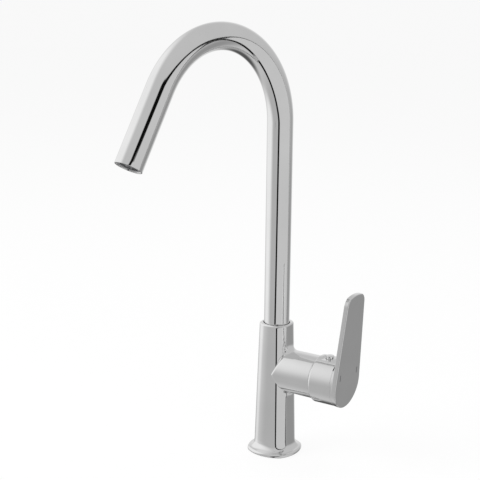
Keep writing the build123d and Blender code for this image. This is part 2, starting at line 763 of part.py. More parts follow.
def plate_outline():
    """Round disc that runs up into the tapering paddle, in the plate's y and s."""
    r = plate_r
    shoulder_reach = sqrt(paddle_top_half ** 2 + paddle_shoulder ** 2)
    tilt = atan2(paddle_shoulder, paddle_top_half) - acos(r / shoulder_reach)
    side_low = Vector(r * cos(tilt), r * sin(tilt))
    side_high = Vector(paddle_top_half, paddle_shoulder)
    mirrored = Vector(-side_low.X, side_low.Y)
    top_left = Vector(-side_high.X, side_high.Y)
    crown = Vector(0, paddle_top)
    corner = Vector(paddle_top_half - paddle_corner * 0.62, paddle_top - paddle_corner * 0.2)
    corner_mid = Vector(paddle_top_half - paddle_corner * 0.17, paddle_top - paddle_corner * 0.66)
    left_corner = Vector(-corner.X, corner.Y)
    left_mid = Vector(-corner_mid.X, corner_mid.Y)
    return make_face([
        ThreePointArc(mirrored, (0, -r), side_low),
        Line(side_low, side_high),
        ThreePointArc(side_high, corner_mid, corner),
        ThreePointArc(corner, crown, left_corner),
        ThreePointArc(left_corner, left_mid, top_left),
        Line(top_left, mirrored)])


def lever_plate():
    """Front of the lever: disc, paddle and the tongue that carries the button."""
    flat = extrude(plate_outline(), plate_thick)
    front = [e for e in flat.edges() if e.center().Z > plate_thick - 0.01]
    flat = fillet(front, plate_edge)
    standing = Plane(origin=(0, 0, 0), x_dir=(0, 1, 0), z_dir=(1, 0, 0))
    plate = on_plate(0, 0, 0) * (standing.location * flat)
    across = (-beyond_cup, beyond_cup)
    room = branch_block((cup_end_x, cup_end_x + 20), across, across)
    room += branch_block((seam_x - 1, cup_end_x + 1), (-tongue_half, tongue_half),
                         (tongue_low, beyond_cup))
    plate += (cup_outer(cup_end_x + 12) - cup_hollow()) & room & before_plate(0.5)
    plate += button_well()
    plate -= branch_block((spot_start, spot_end), across, (spot_height, 2 * beyond_cup))
    well_r = button_r + button_gap
    plate -= upright(button_x, 0, branch_z + well_bottom + well_floor, branch_z + 60, well_r)
    plate -= upright(button_x, 0, branch_z, branch_z + 60, stem_r + running)
    for y in (-joint_screw_y, joint_screw_y):
        plate -= along_branch(cup_end_x - 1, cup_end_x + joint_screw_bite + 0.3,
                              joint_screw_r + running, y)
    for y in (-mark_y, mark_y):
        mark = Box(2 * mark_depth, mark_width, mark_length)
        plate -= on_plate(plate_thick, y, mark_s) * mark
    return plate


def button_well():
    """Sleeve under the tongue that holds the button and its spring."""
    return upright(button_x, 0, branch_z + well_bottom, branch_z + cup_floor_inner_r + 0.6,
                   button_r + button_gap + button_well_wall)


def joint_screws():
    """Two screws that hold the plate to the cup's floor."""
    screws = []
    for y in (-joint_screw_y, joint_screw_y):
        head = Cylinder(joint_screw_head_r, joint_screw_head,
                        align=(Align.CENTER, Align.CENTER, Align.MAX))
        shank = Cylinder(joint_screw_r, cup_floor + joint_screw_bite,
                         align=(Align.CENTER, Align.CENTER, Align.MIN))
        socket = Pos(0, 0, -joint_screw_head - 0.01) * extrude(RegularPolygon(1.1, 6), 1.0)
        place = Pos(cup_end_x - cup_floor - seat_gap, y, branch_z)
        screws.append(place * Rot(0, 90, 0) * (head + shank - socket))
    return Compound(children=screws)


# ---------------------------------------------------------------- push button
def push_button():
    """Button cap with a slightly domed top and its stem."""
    edge_z = branch_z + button_edge
    cap = upright(button_x, 0, branch_z + button_under, edge_z + 2, button_r)
    dome_r = (button_r ** 2 + button_dome ** 2) / (2 * button_dome)
    cap &= Pos(button_x, 0, edge_z + button_dome - dome_r) * Sphere(dome_r)
    rim = [e for e in cap.edges() if abs(e.center().Z - edge_z) < 0.05]
    cap = fillet(rim, button_edge_round)
    return cap + upright(button_x, 0, branch_z + arm_low, branch_z + button_under + 1, stem_r)


def latch_arm():
    """Arm on the button's stem whose tip runs inside the stop ring."""
    arm = branch_block((arm_tip_x, button_x + 3.0), (-arm_half, arm_half), (arm_low, arm_top))
    arm += upright(button_x, 0, branch_z + arm_low, branch_z + arm_top, stem_r + 1.4)
    return arm - upright(button_x, 0, branch_z, branch_z + 60, stem_r + seat_gap)


def button_spring():
    """Compression spring between the button's cap and the floor of its well."""
    height = spring_high - spring_low - 2 * spring_wire_r
    pitch = height / spring_turns
    low = branch_z + spring_low + spring_wire_r
    coil = Helix(pitch, height, spring_mean_r)
    start = coil @ 0
    section = Plane(origin=start, z_dir=coil % 0) * Circle(spring_wire_r)
    return Pos(button_x, 0, low) * sweep(section, coil)


pieces = {
    "body_casting": body_casting,
    "base_seal": base_seal,
    "spout_stop_screw": spout_stop_screw,
    "cartridge_base": cartridge_base,
    "cartridge_port_seals": port_seals,
    "fixed_ceramic_disc": fixed_disc,
    "cartridge_housing": cartridge_housing,
    "cartridge_nut": cartridge_nut,
    "selector_stop_ring": stop_ring,
    "spout_tube": spout_tube,
    "spout_spigot": spout_spigot,
    "spout_o_rings": spout_o_rings,
    "spout_glide_ring": spout_glide_ring,
    "spout_glide_washer": glide_washer,
    "filtered_water_tube": filter_tube,
    "outlet_ferrule": outlet_ferrule,
    "outlet_washer": outlet_washer,
    "outlet_cage": outlet_cage,
    "filtered_water_nozzle": filter_nozzle,
    "outlet_plate": outlet_plate,
    "cartridge_rotor": rotor,
    "spindle_pin": spindle_pin,
    "moving_ceramic_disc": moving_disc,
    "disc_carrier": disc_carrier,
    "cartridge_spindle": spindle,
    "lever_cup": lever_cup,
    "lever_plate": lever_plate,
    "lever_joint_screws": joint_screws,
    "lever_grub_screw": grub_screw,
    "grub_screw_plug": screw_plug,
    "selector_button": push_button,
    "button_latch_arm": latch_arm,
    "button_spring": button_spring,
}

os.makedirs("parts", exist_ok=True)
for name, make in pieces.items():
    export_step(make(), f"parts/{name}.step")
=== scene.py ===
"""Three way kitchen tap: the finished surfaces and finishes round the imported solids."""
import json
from math import acos, atan2, cos, hypot, pi, radians, sin, sqrt, tan

import bmesh
import bpy
import numpy as np
from mathutils import Matrix, Vector


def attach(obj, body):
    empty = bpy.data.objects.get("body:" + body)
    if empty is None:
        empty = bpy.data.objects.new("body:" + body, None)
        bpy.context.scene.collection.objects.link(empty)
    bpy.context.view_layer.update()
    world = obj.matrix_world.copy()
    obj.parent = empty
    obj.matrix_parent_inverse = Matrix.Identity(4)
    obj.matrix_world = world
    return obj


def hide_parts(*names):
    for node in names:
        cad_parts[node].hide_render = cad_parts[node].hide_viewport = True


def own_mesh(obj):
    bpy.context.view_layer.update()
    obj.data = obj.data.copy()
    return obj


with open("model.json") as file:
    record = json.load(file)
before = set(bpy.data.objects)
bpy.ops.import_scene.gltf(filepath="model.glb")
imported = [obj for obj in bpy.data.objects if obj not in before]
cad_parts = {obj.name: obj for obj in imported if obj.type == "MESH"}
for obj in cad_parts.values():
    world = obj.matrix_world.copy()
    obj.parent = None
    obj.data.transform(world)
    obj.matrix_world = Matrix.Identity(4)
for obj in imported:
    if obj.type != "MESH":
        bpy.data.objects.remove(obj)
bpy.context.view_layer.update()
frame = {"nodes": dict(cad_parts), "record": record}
solids = frame["nodes"]

# ------------------------------------------------------------------ sizes, in millimetres
body_top = 133.5
collar_half, collar_corner = 15.3, 11.0
column_half, column_corner = 18.2, 10.0
side_bow = 60.0
collar_rim = 1.5
foot_half, foot_corner, foot_bow = 26.0, 8.0, 33.0
foot_shoulder, foot_under, foot_blend = 2.1, 1.8, 6.0
foot_height = 4.1
collar_bore_r = 13.2
collar_floor = 127.5

branch_z, branch_r = 86.0, 21.1
root_tip, root_spread, root_edge, root_hollow = 6.9, 0.5, 2.0, 6.5
branch_end, solid_branch_end = 49.62, 49.4
seam_x, seam_round = 49.8, 0.3
chamber_r = 18.9

tube_r, tube_wall = 12.5, 1.2
arc_start, arc_radius, arc_bend, outlet_run = 331.0, 83.0, 150.0, 73.0
tube_low = 130.0
rest_swivel = -9.0
insert_low, insert_thick, insert_r = 1.5, 1.4, 8.3
outlet_hole_pitch, outlet_hole_r = 2.6, 0.9
nozzle_r = 3.2

lean = 4.9
plate_back_x, plate_thick, plate_r = 76.4, 4.5, 23.6
paddle_top, paddle_top_half, paddle_shoulder, paddle_corner = 90.5, 16.4, 80.0, 8.0
plate_edge = 0.8
cup_r, cup_mouth_r, cup_flare = 23.3, 21.5, 2.2
cup_end_x, cup_end_round = 74.3, 0.3
tongue_half, tongue_gap = 10.8, 0.8
notch_half, notch_width = 16.4, 0.9
spot_height, spot_start, spot_end = 21.7, 54.4, 66.4
spot_ramp, spot_step = 2.0, 0.35
button_x, button_r, button_edge, button_dome = 61.2, 4.0, 24.7, 0.35
button_hole_r, button_travel = 4.35, 2.0
mark_y, mark_s, mark_length, mark_width = 15.8, 10.6, 6.5, 1.0


# ------------------------------------------------------------------ mesh making
class Skin:
    """Collects grids of points, in millimetres, and makes one smooth mesh of them."""

    def __init__(self):
        self.points = []
        self.faces = []
        self.count = 0

    def grid(self, rows, out, wrap=False, keep=None):
        """rows[i][j] are points; `out` gives the outward direction at a point."""
        rows = np.asarray(rows, float)
        m, n, _ = rows.shape
        index = np.arange(m * n).reshape(m, n)
        if wrap:
            index = np.concatenate([index, index[:, :1]], axis=1)
        quads = np.stack([index[:-1, :-1], index[:-1, 1:], index[1:, 1:], index[1:, :-1]], -1)
        quads = quads.reshape(-1, 4)
        flat = rows.reshape(-1, 3)
        centre = flat[quads].mean(1)
        if keep is not None:
            chosen = keep(centre)
            quads, centre = quads[chosen], centre[chosen]
        normal = np.cross(flat[quads[:, 2]] - flat[quads[:, 0]], flat[quads[:, 3]] - flat[quads[:, 1]])
        if (normal * out(centre)).sum() < 0:
            quads = quads[:, ::-1]
        self.points.append(flat)
        self.faces += (quads + self.count).tolist()
        self.count += len(flat)

    def flat(self, ring, normal):
        """One flat face inside a ring of points."""
        ring = np.asarray(ring, float)
        area = np.cross(ring, np.roll(ring, -1, 0)).sum(0)
        order = list(range(len(ring)))
        if area @ np.asarray(normal, float) < 0:
            order.reverse()
        self.points.append(ring)
        self.faces.append([self.count + i for i in order])
        self.count += len(ring)

    def from_solid(self, node, keep):
        """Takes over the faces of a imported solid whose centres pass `keep`."""
        mesh = solids[node].data
        co = np.empty(len(mesh.vertices) * 3)
        mesh.vertices.foreach_get("co", co)
        co = co.reshape(-1, 3) * 1000
        tri = np.array([p.vertices[:] for p in mesh.polygons])
        chosen = keep(co[tri].mean(1), co[tri])
        self.points.append(co)
        self.faces += (tri[chosen] + self.count).tolist()
        self.count += len(co)

    def piece(self, name, body, slot, materials, *replaced, sharp=32.0):
        mesh = bpy.data.meshes.new(name)
        mesh.from_pydata((np.concatenate(self.points) * 0.001).tolist(), [], self.faces)
        work = bmesh.new()
        work.from_mesh(mesh)
        bmesh.ops.remove_doubles(work, verts=work.verts, dist=2e-6)
        loose = [v for v in work.verts if not v.link_faces]
        bmesh.ops.delete(work, geom=loose, context="VERTS")
        bmesh.ops.dissolve_degenerate(work, edges=work.edges, dist=1e-7)
        work.to_mesh(mesh)
        work.free()
        mesh.polygons.foreach_set("use_smooth", [True] * len(mesh.polygons))
        mesh.set_sharp_from_angle(angle=radians(sharp))
        for material in materials if isinstance(materials, list) else [materials]:
            mesh.materials.append(material)
        piece = in_scene(name, mesh)
        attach(piece, body)
        if replaced:
            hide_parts(*replaced)
        return piece


def away_from_line(point, direction):
    point, direction = np.array(point, float), np.array(direction, float)
    direction /= np.linalg.norm(direction)

    def out(centre):
        d = centre - point
        return d - (d @ direction)[:, None] * direction
    return out


def inward(out):
    return lambda centre: -out(centre)


def along(direction):
    direction = np.array(direction, float)
    return lambda centre: np.broadcast_to(direction, centre.shape)


from_branch_axis = away_from_line((0, 0, branch_z), (1, 0, 0))
from_column_axis = away_from_line((0, 0, 0), (0, 0, 1))


def eased(share):
    """0 to 1 with a soft start and end; values outside are held."""
    share = min(1.0, max(0.0, share))
    return share * share * (3 - 2 * share)


def halved(low, high, steps, before):
    """Narrows the span round the place where `before` stops being true."""
    for _ in range(steps):
        mid = (low + high) / 2
        low, high = (mid, high) if before(mid) else (low, mid)
    return low, high


def in_scene(name, data):
    """New object that holds `data`, linked to the scene."""
    item = bpy.data.objects.new(name, data)
    bpy.context.scene.collection.objects.link(item)
    return item


def round_branch(s, r, a):
    return (s, r * cos(a), branch_z + r * sin(a))


def swing(points, angle=rest_swivel):
    c, s = cos(radians(angle)), sin(radians(angle))
    points = np.asarray(points, float)
    return np.stack([points[..., 0] * c - points[..., 1] * s,
                     points[..., 0] * s + points[..., 1] * c, points[..., 2]], -1)


# ------------------------------------------------------------------ rounded square sections
def section_arcs(half, corner, bow):
    """Centres and spans of the arcs of a square with bowed sides, first eighth side and corner."""
    side_centre = half - bow
    reach = bow - corner
    diagonal = (side_centre + sqrt(2 * reach ** 2 - side_centre ** 2)) / 2
    join = atan2(diagonal, diagonal - side_centre)
    return side_centre, diagonal, join


def section_ring(half, corner, bow, side_steps=22, corner_steps=26):
    """Points of the section, counter-clockwise from the middle of the +X side."""
    side_centre, diagonal, join = section_arcs(half, corner, bow)
    quarter = [(side_centre + bow * cos(a), bow * sin(a))
               for a in np.linspace(-join, join, 2 * side_steps, endpoint=False)]
    corner_start, corner_end = join, pi / 2 - join
    quarter += [(diagonal + corner * cos(a), diagonal + corner * sin(a))
                for a in np.linspace(corner_start, corner_end, corner_steps, endpoint=False)]
    quarter = np.array(quarter)
    ring = []
    for turn in range(4):
        c, s = [(1, 0), (0, 1), (-1, 0), (0, -1)][turn]
        ring.append(np.stack([quarter[:, 0] * c - quarter[:, 1] * s,
                              quarter[:, 0] * s + quarter[:, 1] * c], -1))
    return np.concatenate(ring)


def column_section(z):
    share = z / body_top
    half = column_half + (collar_half - column_half) * share
    corner = column_corner + (collar_corner - column_corner) * share
    return half, corner, side_bow


def section_distance(x, y, half, corner, bow):
    """Signed distance from the section's edge, and the outward normal there."""
    side_centre, diagonal, join = section_arcs(half, corner, bow)
    u, v = abs(x), abs(y)
    swapped = v > u
    if swapped:
        u, v = v, u
    angle = atan2(v, u - side_centre)
    if angle <= join:
        cx, cy, r = side_centre, 0.0, bow
    else:
        cx, cy, r = diagonal, diagonal, corner
    reach = hypot(u - cx, v - cy)
    nu, nv = (u - cx) / reach, (v - cy) / reach
    if swapped:
        nu, nv = nv, nu
    return reach - r, (nu if x >= 0 else -nu, nv if y >= 0 else -nv)


# ------------------------------------------------------------------ body: foot, column, branch
def column_rows(skin):
    """Foot edge, shoulder, hollow, column and collar, down to the bore."""
    outline = section_ring(foot_half, foot_corner, foot_bow)
    rings = []
    for a in np.linspace(-90, 0, 9):
        d = foot_under * (1 - cos(radians(a)))
        rings.append([(p[0], p[1], foot_under + foot_under * sin(radians(a)))
                      for p in section_ring(foot_half - d, foot_corner - d, foot_bow - d)])
    # where the column's wall stands behind each point of the foot's outline
    dense = section_ring(*column_section(foot_height), side_steps=200, corner_steps=300)
    count = len(outline)
    inward_reach = np.empty(count)
    bearing = np.unwrap(np.arctan2(dense[:, 1], dense[:, 0]))
    for i, (x, y) in enumerate(outline):
        nx, ny = section_distance(x, y, foot_half, foot_corner, foot_bow)[1]
        wall = column_section(foot_height + 2)
        inward_reach[i] = halved(0.0, 14.0, 30, lambda step: section_distance(
            x - nx * step, y - ny * step, *wall)[0] > 0)[0]
    lean_in = inward_reach - foot_blend
    rise = foot_height - foot_shoulder + np.sqrt(
        (foot_shoulder + foot_blend) ** 2 - (lean_in - foot_shoulder) ** 2)
    normals = np.array([section_distance(x, y, foot_half, foot_corner, foot_bow)[1]
                        for x, y in outline])
    centre_z = foot_height - foot_shoulder
    meet = np.arctan2(rise - centre_z, foot_shoulder - lean_in)
    for t in np.linspace(0, 1, 15):
        a = meet * t
        d = foot_shoulder - foot_shoulder * np.cos(a)
        z = centre_z + foot_shoulder * np.sin(a)
        rings.append(np.column_stack([outline - normals * d[:, None], z]))
    for t in np.linspace(0, 1, 22)[1:]:
        a = (meet + pi) + (pi * 1.0 - (meet + pi)) * t
        d = lean_in - foot_blend * np.cos(a)
        z = rise + foot_blend * np.sin(a)
        rings.append(np.column_stack([outline - normals * d[:, None], z]))
    # column rings follow the bearing at which each grid line left the hollow
    last = np.asarray(rings[-1], float)
    start = np.unwrap(np.arctan2(last[:, 1], last[:, 0]))
    heights = list(np.linspace(float(last[:, 2].max()) + 0.8, body_top - collar_rim - 0.3, 60))
    heights += [body_top - collar_rim]
    share_of = np.interp(start, bearing, np.arange(len(dense)), period=2 * pi)

    def at_height(half, corner, bow, z):
        fine = section_ring(half, corner, bow, side_steps=200, corner_steps=300)
        i = np.floor(share_of).astype(int)
        f = (share_of - i)[:, None]
        i = i % len(fine)
        p = fine[i] * (1 - f) + fine[(i + 1) % len(fine)] * f
        return np.column_stack([p, np.full(len(p), z)])
    for z in heights:
        rings.append(at_height(*column_section(z), z))
    for a in np.linspace(0, 90, 10)[1:]:
        d = collar_rim * (1 - cos(radians(a)))
        half, corner, bow = column_section(body_top)
        rings.append(at_height(half - d, corner - d, bow - d,
                               body_top - collar_rim + collar_rim * sin(radians(a))))
    half, corner, bow = column_section(body_top)
    rings.append(at_height(half - collar_rim - 0.12, corner - collar_rim - 0.12,
                           bow - collar_rim - 0.12, body_top))
    rings = [np.asarray(r, float) for r in rings]

    def outside_branch(centre):
        radial = np.hypot(centre[:, 1], centre[:, 2] - branch_z)
        rise = np.abs(centre[:, 2] - branch_z)
        return ~((centre[:, 0] > root_tip + root_spread * rise + 1.2) & (radial < branch_r - 0.8))

    def outward(centre):
        v = centre * np.array([1, 1, 0])
        v[:, 2] = np.where(centre[:, 2] < 2, -8, np.where(centre[:, 2] > body_top - 2, 8, 0))
        return v
    skin.grid(rings, outward, wrap=True, keep=outside_branch)
    # flat land between the collar's rounding and the spout's bore
    edge = rings[-1]
    bearing_edge = np.arctan2(edge[:, 1], edge[:, 0])
    land = []
    for t in np.linspace(0, 1, 3):
        circle = np.column_stack([(collar_bore_r + 0.25) * np.cos(bearing_edge),
                                  (collar_bore_r + 0.25) * np.sin(bearing_edge),
                                  np.full(len(edge), body_top)])
        land.append(edge * (1 - t) + circle * t)
    for a in np.linspace(0, 90, 5)[1:]:
        r = collar_bore_r + 0.25 * (1 - sin(radians(a)))
        z = body_top - 0.25 * (1 - cos(radians(a)))
        land.append(np.column_stack([r * np.cos(bearing_edge), r * np.sin(bearing_edge),
                                     np.full(len(edge), z)]))
    skin.grid(land, along((0, 0, 1)), wrap=True)
    bore = [np.column_stack([collar_bore_r * np.cos(bearing_edge),
                             collar_bore_r * np.sin(bearing_edge),
                             np.full(len(edge), z)]) for z in (body_top - 0.25, collar_floor)]
    skin.grid(bore, inward(from_column_axis), wrap=True)


def branch_rows(skin):
    """Side branch: a plain bar whose root is cut to a wedge over the column's front and back
    faces, and runs into the column's side face in a hollow above and below."""
    count = 288
    steps = 15

    def wedge(radial):
        """Root line of the wedge: out of the column's face, round the edge, onto the bar."""
        y, z = branch_r * radial[1], branch_r * radial[2]
        x = root_tip + root_spread * abs(z)
        x = min(x, 16.6 - 3.0 * max(0.0, 1 - abs(y) / 8.0) ** 2)
        sign = 1.0 if y >= 0 else -1.0
        high = halved(0.0, 24.0, 30, lambda step: section_distance(
            x, sign * step, *column_section(branch_z + z))[0] < 0)[1]
        start = min(high, abs(y)) - 1.0
        reach = max(abs(y) - root_edge, start)
        line = [np.array([x, sign * (start + (reach - start) * t), branch_z + z])
                for t in np.linspace(0, 1, 6)]
        corner = line[-1]
        end = np.array([x + root_edge, y, branch_z + z])
        for t in np.linspace(0, 1, steps - 5)[1:]:
            a = t * pi / 2
            line.append(np.array([x + root_edge * (1 - cos(a)),
                                  corner[1] + (end[1] - corner[1]) * sin(a), branch_z + z]))
        return line

    def hollow(radial):
        """Root line of the hollow: an arc of a ball that rests on the bar and the column."""
        ball = root_edge + (root_hollow - root_edge) * eased((abs(radial[2]) - 0.70) / 0.30)
        offset = (branch_r + ball) * radial
        high = halved(0.0, 40.0, 40, lambda step: section_distance(
            step, offset[1], *column_section(branch_z + offset[2]))[0] < ball)[1]
        c = np.array([high, offset[1], branch_z + offset[2]])
        nx, ny = section_distance(c[0], c[1], *column_section(c[2]))[1]
        to_bar, to_column = -radial, np.array([-nx, -ny, 0.0])
        angle = acos(max(-1.0, min(1.0, float(to_bar @ to_column))))
        return [c + ball * (sin((1 - t) * angle) * to_column + sin(t * angle) * to_bar) / sin(angle)
                for t in np.linspace(0, 1, steps)]

    columns = []
    for k in range(count):
        phi = 2 * pi * k / count
        radial = np.array([0, cos(phi), sin(phi)])
        share = eased((abs(radial[2]) - 0.74) / 0.18)
        if share <= 0:
            line = wedge(radial)
        elif share >= 1:
            line = hollow(radial)
        else:
            line = [a * (1 - share) + b * share for a, b in zip(wedge(radial), hollow(radial))]
        line = list(line)
        start = line[-1][0]
        for x in np.linspace(start, branch_end - seam_round, 40)[1:]:
            line.append(np.array([x, 0, branch_z]) + branch_r * radial)
        for a in np.linspace(0, 90, 6)[1:]:
            line.append(np.array([branch_end - seam_round + seam_round * sin(radians(a)), 0, branch_z])
                        + (branch_r - seam_round + seam_round * cos(radians(a))) * radial)
        line.append(np.array([branch_end, 0, branch_z]) + (branch_r - seam_round - 0.15) * radial)
        line.append(np.array([branch_end, 0, branch_z]) + chamber_r * radial)
        line.append(np.array([solid_branch_end, 0, branch_z]) + chamber_r * radial)
        columns.append(line)
    rows = np.array(columns).transpose(1, 0, 2)

    def outward(centre):
        v = centre - np.array([root_tip + 6.0, 0, branch_z])
        v[:, 0] = np.where(centre[:, 0] > branch_end - 0.1, 8, np.minimum(v[:, 0], 0))
        return v
    skin.grid(rows, outward, wrap=True)


def body_piece(finish):
    skin = Skin()
    column_rows(skin)
    branch_rows(skin)

    def inner(centre, corners):
        radial = np.hypot(centre[:, 1], centre[:, 2] - branch_z)
        upright = np.hypot(centre[:, 0], centre[:, 1])
        chamber = (centre[:, 0] > 15.5) & (radial < chamber_r + 0.06) & (centre[:, 2] > 20)
        bore = (upright < collar_bore_r - 0.3) & (centre[:, 2] < 127.6)
        bore |= (upright < collar_bore_r + 0.05) & (centre[:, 2] < 127.6) & (centre[:, 2] > 120)
        below = centre[:, 2] < 0.02
        groove = (centre[:, 2] < 2.4) & (upright < 23.0)
        ways = (np.abs(centre[:, 1]) < 16.0) & (np.abs(centre[:, 0]) < 15.9) & (centre[:, 2] < 127)
        screw = (np.hypot(centre[:, 0], centre[:, 2] - 115.0) < 2.6) & (centre[:, 1] > 9)
        end_face = (centre[:, 0] > solid_branch_end - 0.01) & (radial < chamber_r + 0.1)
        return chamber | bore | below | groove | (ways & (upright < 15.0)) | screw | end_face
    skin.from_solid("body_casting", inner)
    return skin.piece("body", "fixed", "chrome", finish, "body_casting")


# ------------------------------------------------------------------ spout
def spout_frame(s):
    """Centre and direction of the spout `s` millimetres from the tube's lower end."""
    rise = arc_start - tube_low
    if s <= rise:
        return np.array([0, 0, tube_low + s]), np.array([0, 0, 1.0])
    turn = min((s - rise) / arc_radius, radians(arc_bend))
    centre = np.array([0, -arc_radius * (1 - cos(turn)), arc_start + arc_radius * sin(turn)])
    direction = np.array([0, -sin(turn), cos(turn)])
    rest = s - rise - arc_radius * turn
    return centre + direction * rest, direction


spout_length = arc_start - tube_low + arc_radius * radians(arc_bend) + outlet_run


def tube_rows(stations, around=128):
    """Rings of a pipe along the spout; each station is (distance, radius)."""
    rows = []
    side = np.array([1.0, 0, 0])
    angles = np.linspace(0, 2 * pi, around, endpoint=False)
    for s, r in stations:
        c, t = spout_frame(s)
        b = np.cross(t, side)
        rows.append([c + r * (cos(a) * side + sin(a) * b) for a in angles])
    return swing(rows)


def spout_outward(centre):
    back = swing(centre, -rest_swivel)
    out = np.zeros_like(back)
    for i, p in enumerate(back):
        if p[1] > -41.5 and p[2] < arc_start:
            axis = np.array([0, 0, p[2]])
        else:
            v = p - np.array([0, -arc_radius, arc_start])
            turn = atan2(v[2], v[1])
            turn = turn if turn > -pi / 2 else turn + 2 * pi
            if turn <= radians(arc_bend):
                around = arc_radius * np.array([0, cos(turn), sin(turn)])
                axis = np.array([0, -arc_radius, arc_start]) + around
            else:
                c, t = spout_frame(spout_length)
                axis = c + t * ((p - c) @ t)
        out[i] = p - axis
    return swing(out)


def spout_piece(finish):
    skin = Skin()
    rise = arc_start - tube_low
    bend = rise + arc_radius * radians(arc_bend)
    lip = 0.45
    inner_r = tube_r - tube_wall
    outer = [(0.0, tube_r - 0.3), (0.1, tube_r - 0.1), (0.3, tube_r)]
    outer += [(s, tube_r) for s in np.linspace(2.0, rise, 34)]
    outer += [(s, tube_r) for s in np.linspace(rise, bend, 150)[1:]]
    outer += [(s, tube_r) for s in np.linspace(bend, spout_length - lip, 18)[1:]]
    outer += [(spout_length - lip + lip * sin(a), tube_r - lip + lip * cos(a))
              for a in np.radians(np.linspace(0, 90, 8)[1:])]
    rim = [(spout_length, tube_r - lip), (spout_length, inner_r + 0.25)]
    rim += [(spout_length - 0.25 + 0.25 * cos(a), inner_r + 0.25 - 0.25 * sin(a))
            for a in np.radians(np.linspace(0, 90, 5)[1:])]
    rim += [(spout_length - 3.0, inner_r), (spout_length - 18.0, inner_r)]
    skin.grid(tube_rows(outer), spout_outward, wrap=True)
    _, t = spout_frame(spout_length)
    skin.grid(tube_rows(rim[:2]), along(swing(t)), wrap=True)
    skin.grid(tube_rows(rim[1:]), inward(spout_outward), wrap=True)
    low = [(0.0, tube_r - 0.3), (0.0, inner_r)]
    skin.grid(tube_rows(low), along((0, 0, -1)), wrap=True)
    return skin.piece("spout_tube_finished", "spout", "chrome", finish, "spout_tube")


def at_outlet(points):
    """Carries points drawn upright, z = 0 at the outlet and +z upstream, to the outlet."""
    points = np.asarray(points, float)
    c, t = spout_frame(spout_length)
    up = -t
    side = np.array([1.0, 0, 0])
    third = np.cross(up, side)
    return swing(c + points[..., :1] * side + points[..., 1:2] * third + points[..., 2:3] * up)


def perforated_plate():
    """Node tree of the outlet's plate: a disc with a centre hole and a hexagonal field of
    six-sided holes between two radii."""
    tree = bpy.data.node_groups.new("perforated_plate", "GeometryNodeTree")
    tree.interface.new_socket("Geometry", in_out="OUTPUT", socket_type="NodeSocketGeometry")
    inputs = {}
    for name in ("Disc radius", "Disc thickness", "Centre hole radius", "Hole pitch", "Hole radius",
                 "Field inner radius", "Field outer radius"):
        inputs[name] = tree.interface.new_socket(name, in_out="INPUT", socket_type="NodeSocketFloat")
    inputs["Finish"] = tree.interface.new_socket("Finish", in_out="INPUT", socket_type="NodeSocketMaterial")
    given = tree.nodes.new("NodeGroupInput")
    result = tree.nodes.new("NodeGroupOutput")

    def node(kind, operation=None, **values):
        made = tree.nodes.new(kind)
        if operation:
            made.operation = operation
        for name, value in values.items():
            socket = made.inputs[int(name[1:])] if name[1:].isdigit() else made.inputs[name.replace("_", " ")]
            if isinstance(value, bpy.types.NodeSocket):
                tree.links.new(value, socket)
            else:
                socket.default_value = value
        return made

    def times(value, factor):
        return node("ShaderNodeMath", "MULTIPLY", _0=value, _1=factor).outputs[0]

    pitch = given.outputs["Hole pitch"]
    columns, rows = 9, 7
    lattices = tree.nodes.new("GeometryNodeJoinGeometry")
    for half in (0.0, 0.5):
        grid = node("GeometryNodeMeshGrid", Size_X=times(pitch, float(columns - 1)),
                    Size_Y=times(pitch, (rows - 1) * sqrt(3)), Vertices_X=columns, Vertices_Y=rows)
        offset = node("ShaderNodeCombineXYZ", X=times(pitch, half), Y=times(pitch, half * sqrt(3)))
        moved = node("GeometryNodeSetPosition", Geometry=grid.outputs["Mesh"], Offset=offset.outputs[0])
        tree.links.new(moved.outputs[0], lattices.inputs[0])
    place = tree.nodes.new("GeometryNodeInputPosition")
    reach = node("ShaderNodeVectorMath", "LENGTH", _0=place.outputs[0]).outputs["Value"]
    beyond = node("ShaderNodeMath", "GREATER_THAN", _0=reach, _1=given.outputs["Field inner radius"])
    inside = node("ShaderNodeMath", "LESS_THAN", _0=reach, _1=given.outputs["Field outer radius"])
    field = node("ShaderNodeMath", "MULTIPLY", _0=beyond.outputs[0], _1=inside.outputs[0])
    deep = times(given.outputs["Disc thickness"], 2.0)
    punch = node("GeometryNodeMeshCylinder", Vertices=6, Radius=given.outputs["Hole radius"], Depth=deep)
    punches = node("GeometryNodeInstanceOnPoints", Points=lattices.outputs[0], Selection=field.outputs[0],
                   Instance=punch.outputs["Mesh"])
    cut = node("GeometryNodeRealizeInstances", Geometry=punches.outputs[0])
    centre = node("GeometryNodeMeshCylinder", Vertices=72, Radius=given.outputs["Centre hole radius"],
                  Depth=deep)
    disc = node("GeometryNodeMeshCylinder", Vertices=120, Radius=given.outputs["Disc radius"],
                Depth=given.outputs["Disc thickness"])
    pierced = tree.nodes.new("GeometryNodeMeshBoolean")
    pierced.operation = "DIFFERENCE"
    tree.links.new(disc.outputs["Mesh"], pierced.inputs[0])
    tree.links.new(cut.outputs[0], pierced.inputs[1])
    tree.links.new(centre.outputs["Mesh"], pierced.inputs[1])
    real = node("GeometryNodeRealizeInstances", Geometry=pierced.outputs[0])
    dressed = node("GeometryNodeSetMaterial", Geometry=real.outputs[0], Material=given.outputs["Finish"])
    tree.links.new(dressed.outputs[0], result.inputs[0])
    return tree, {name: socket.identifier for name, socket in inputs.items()}


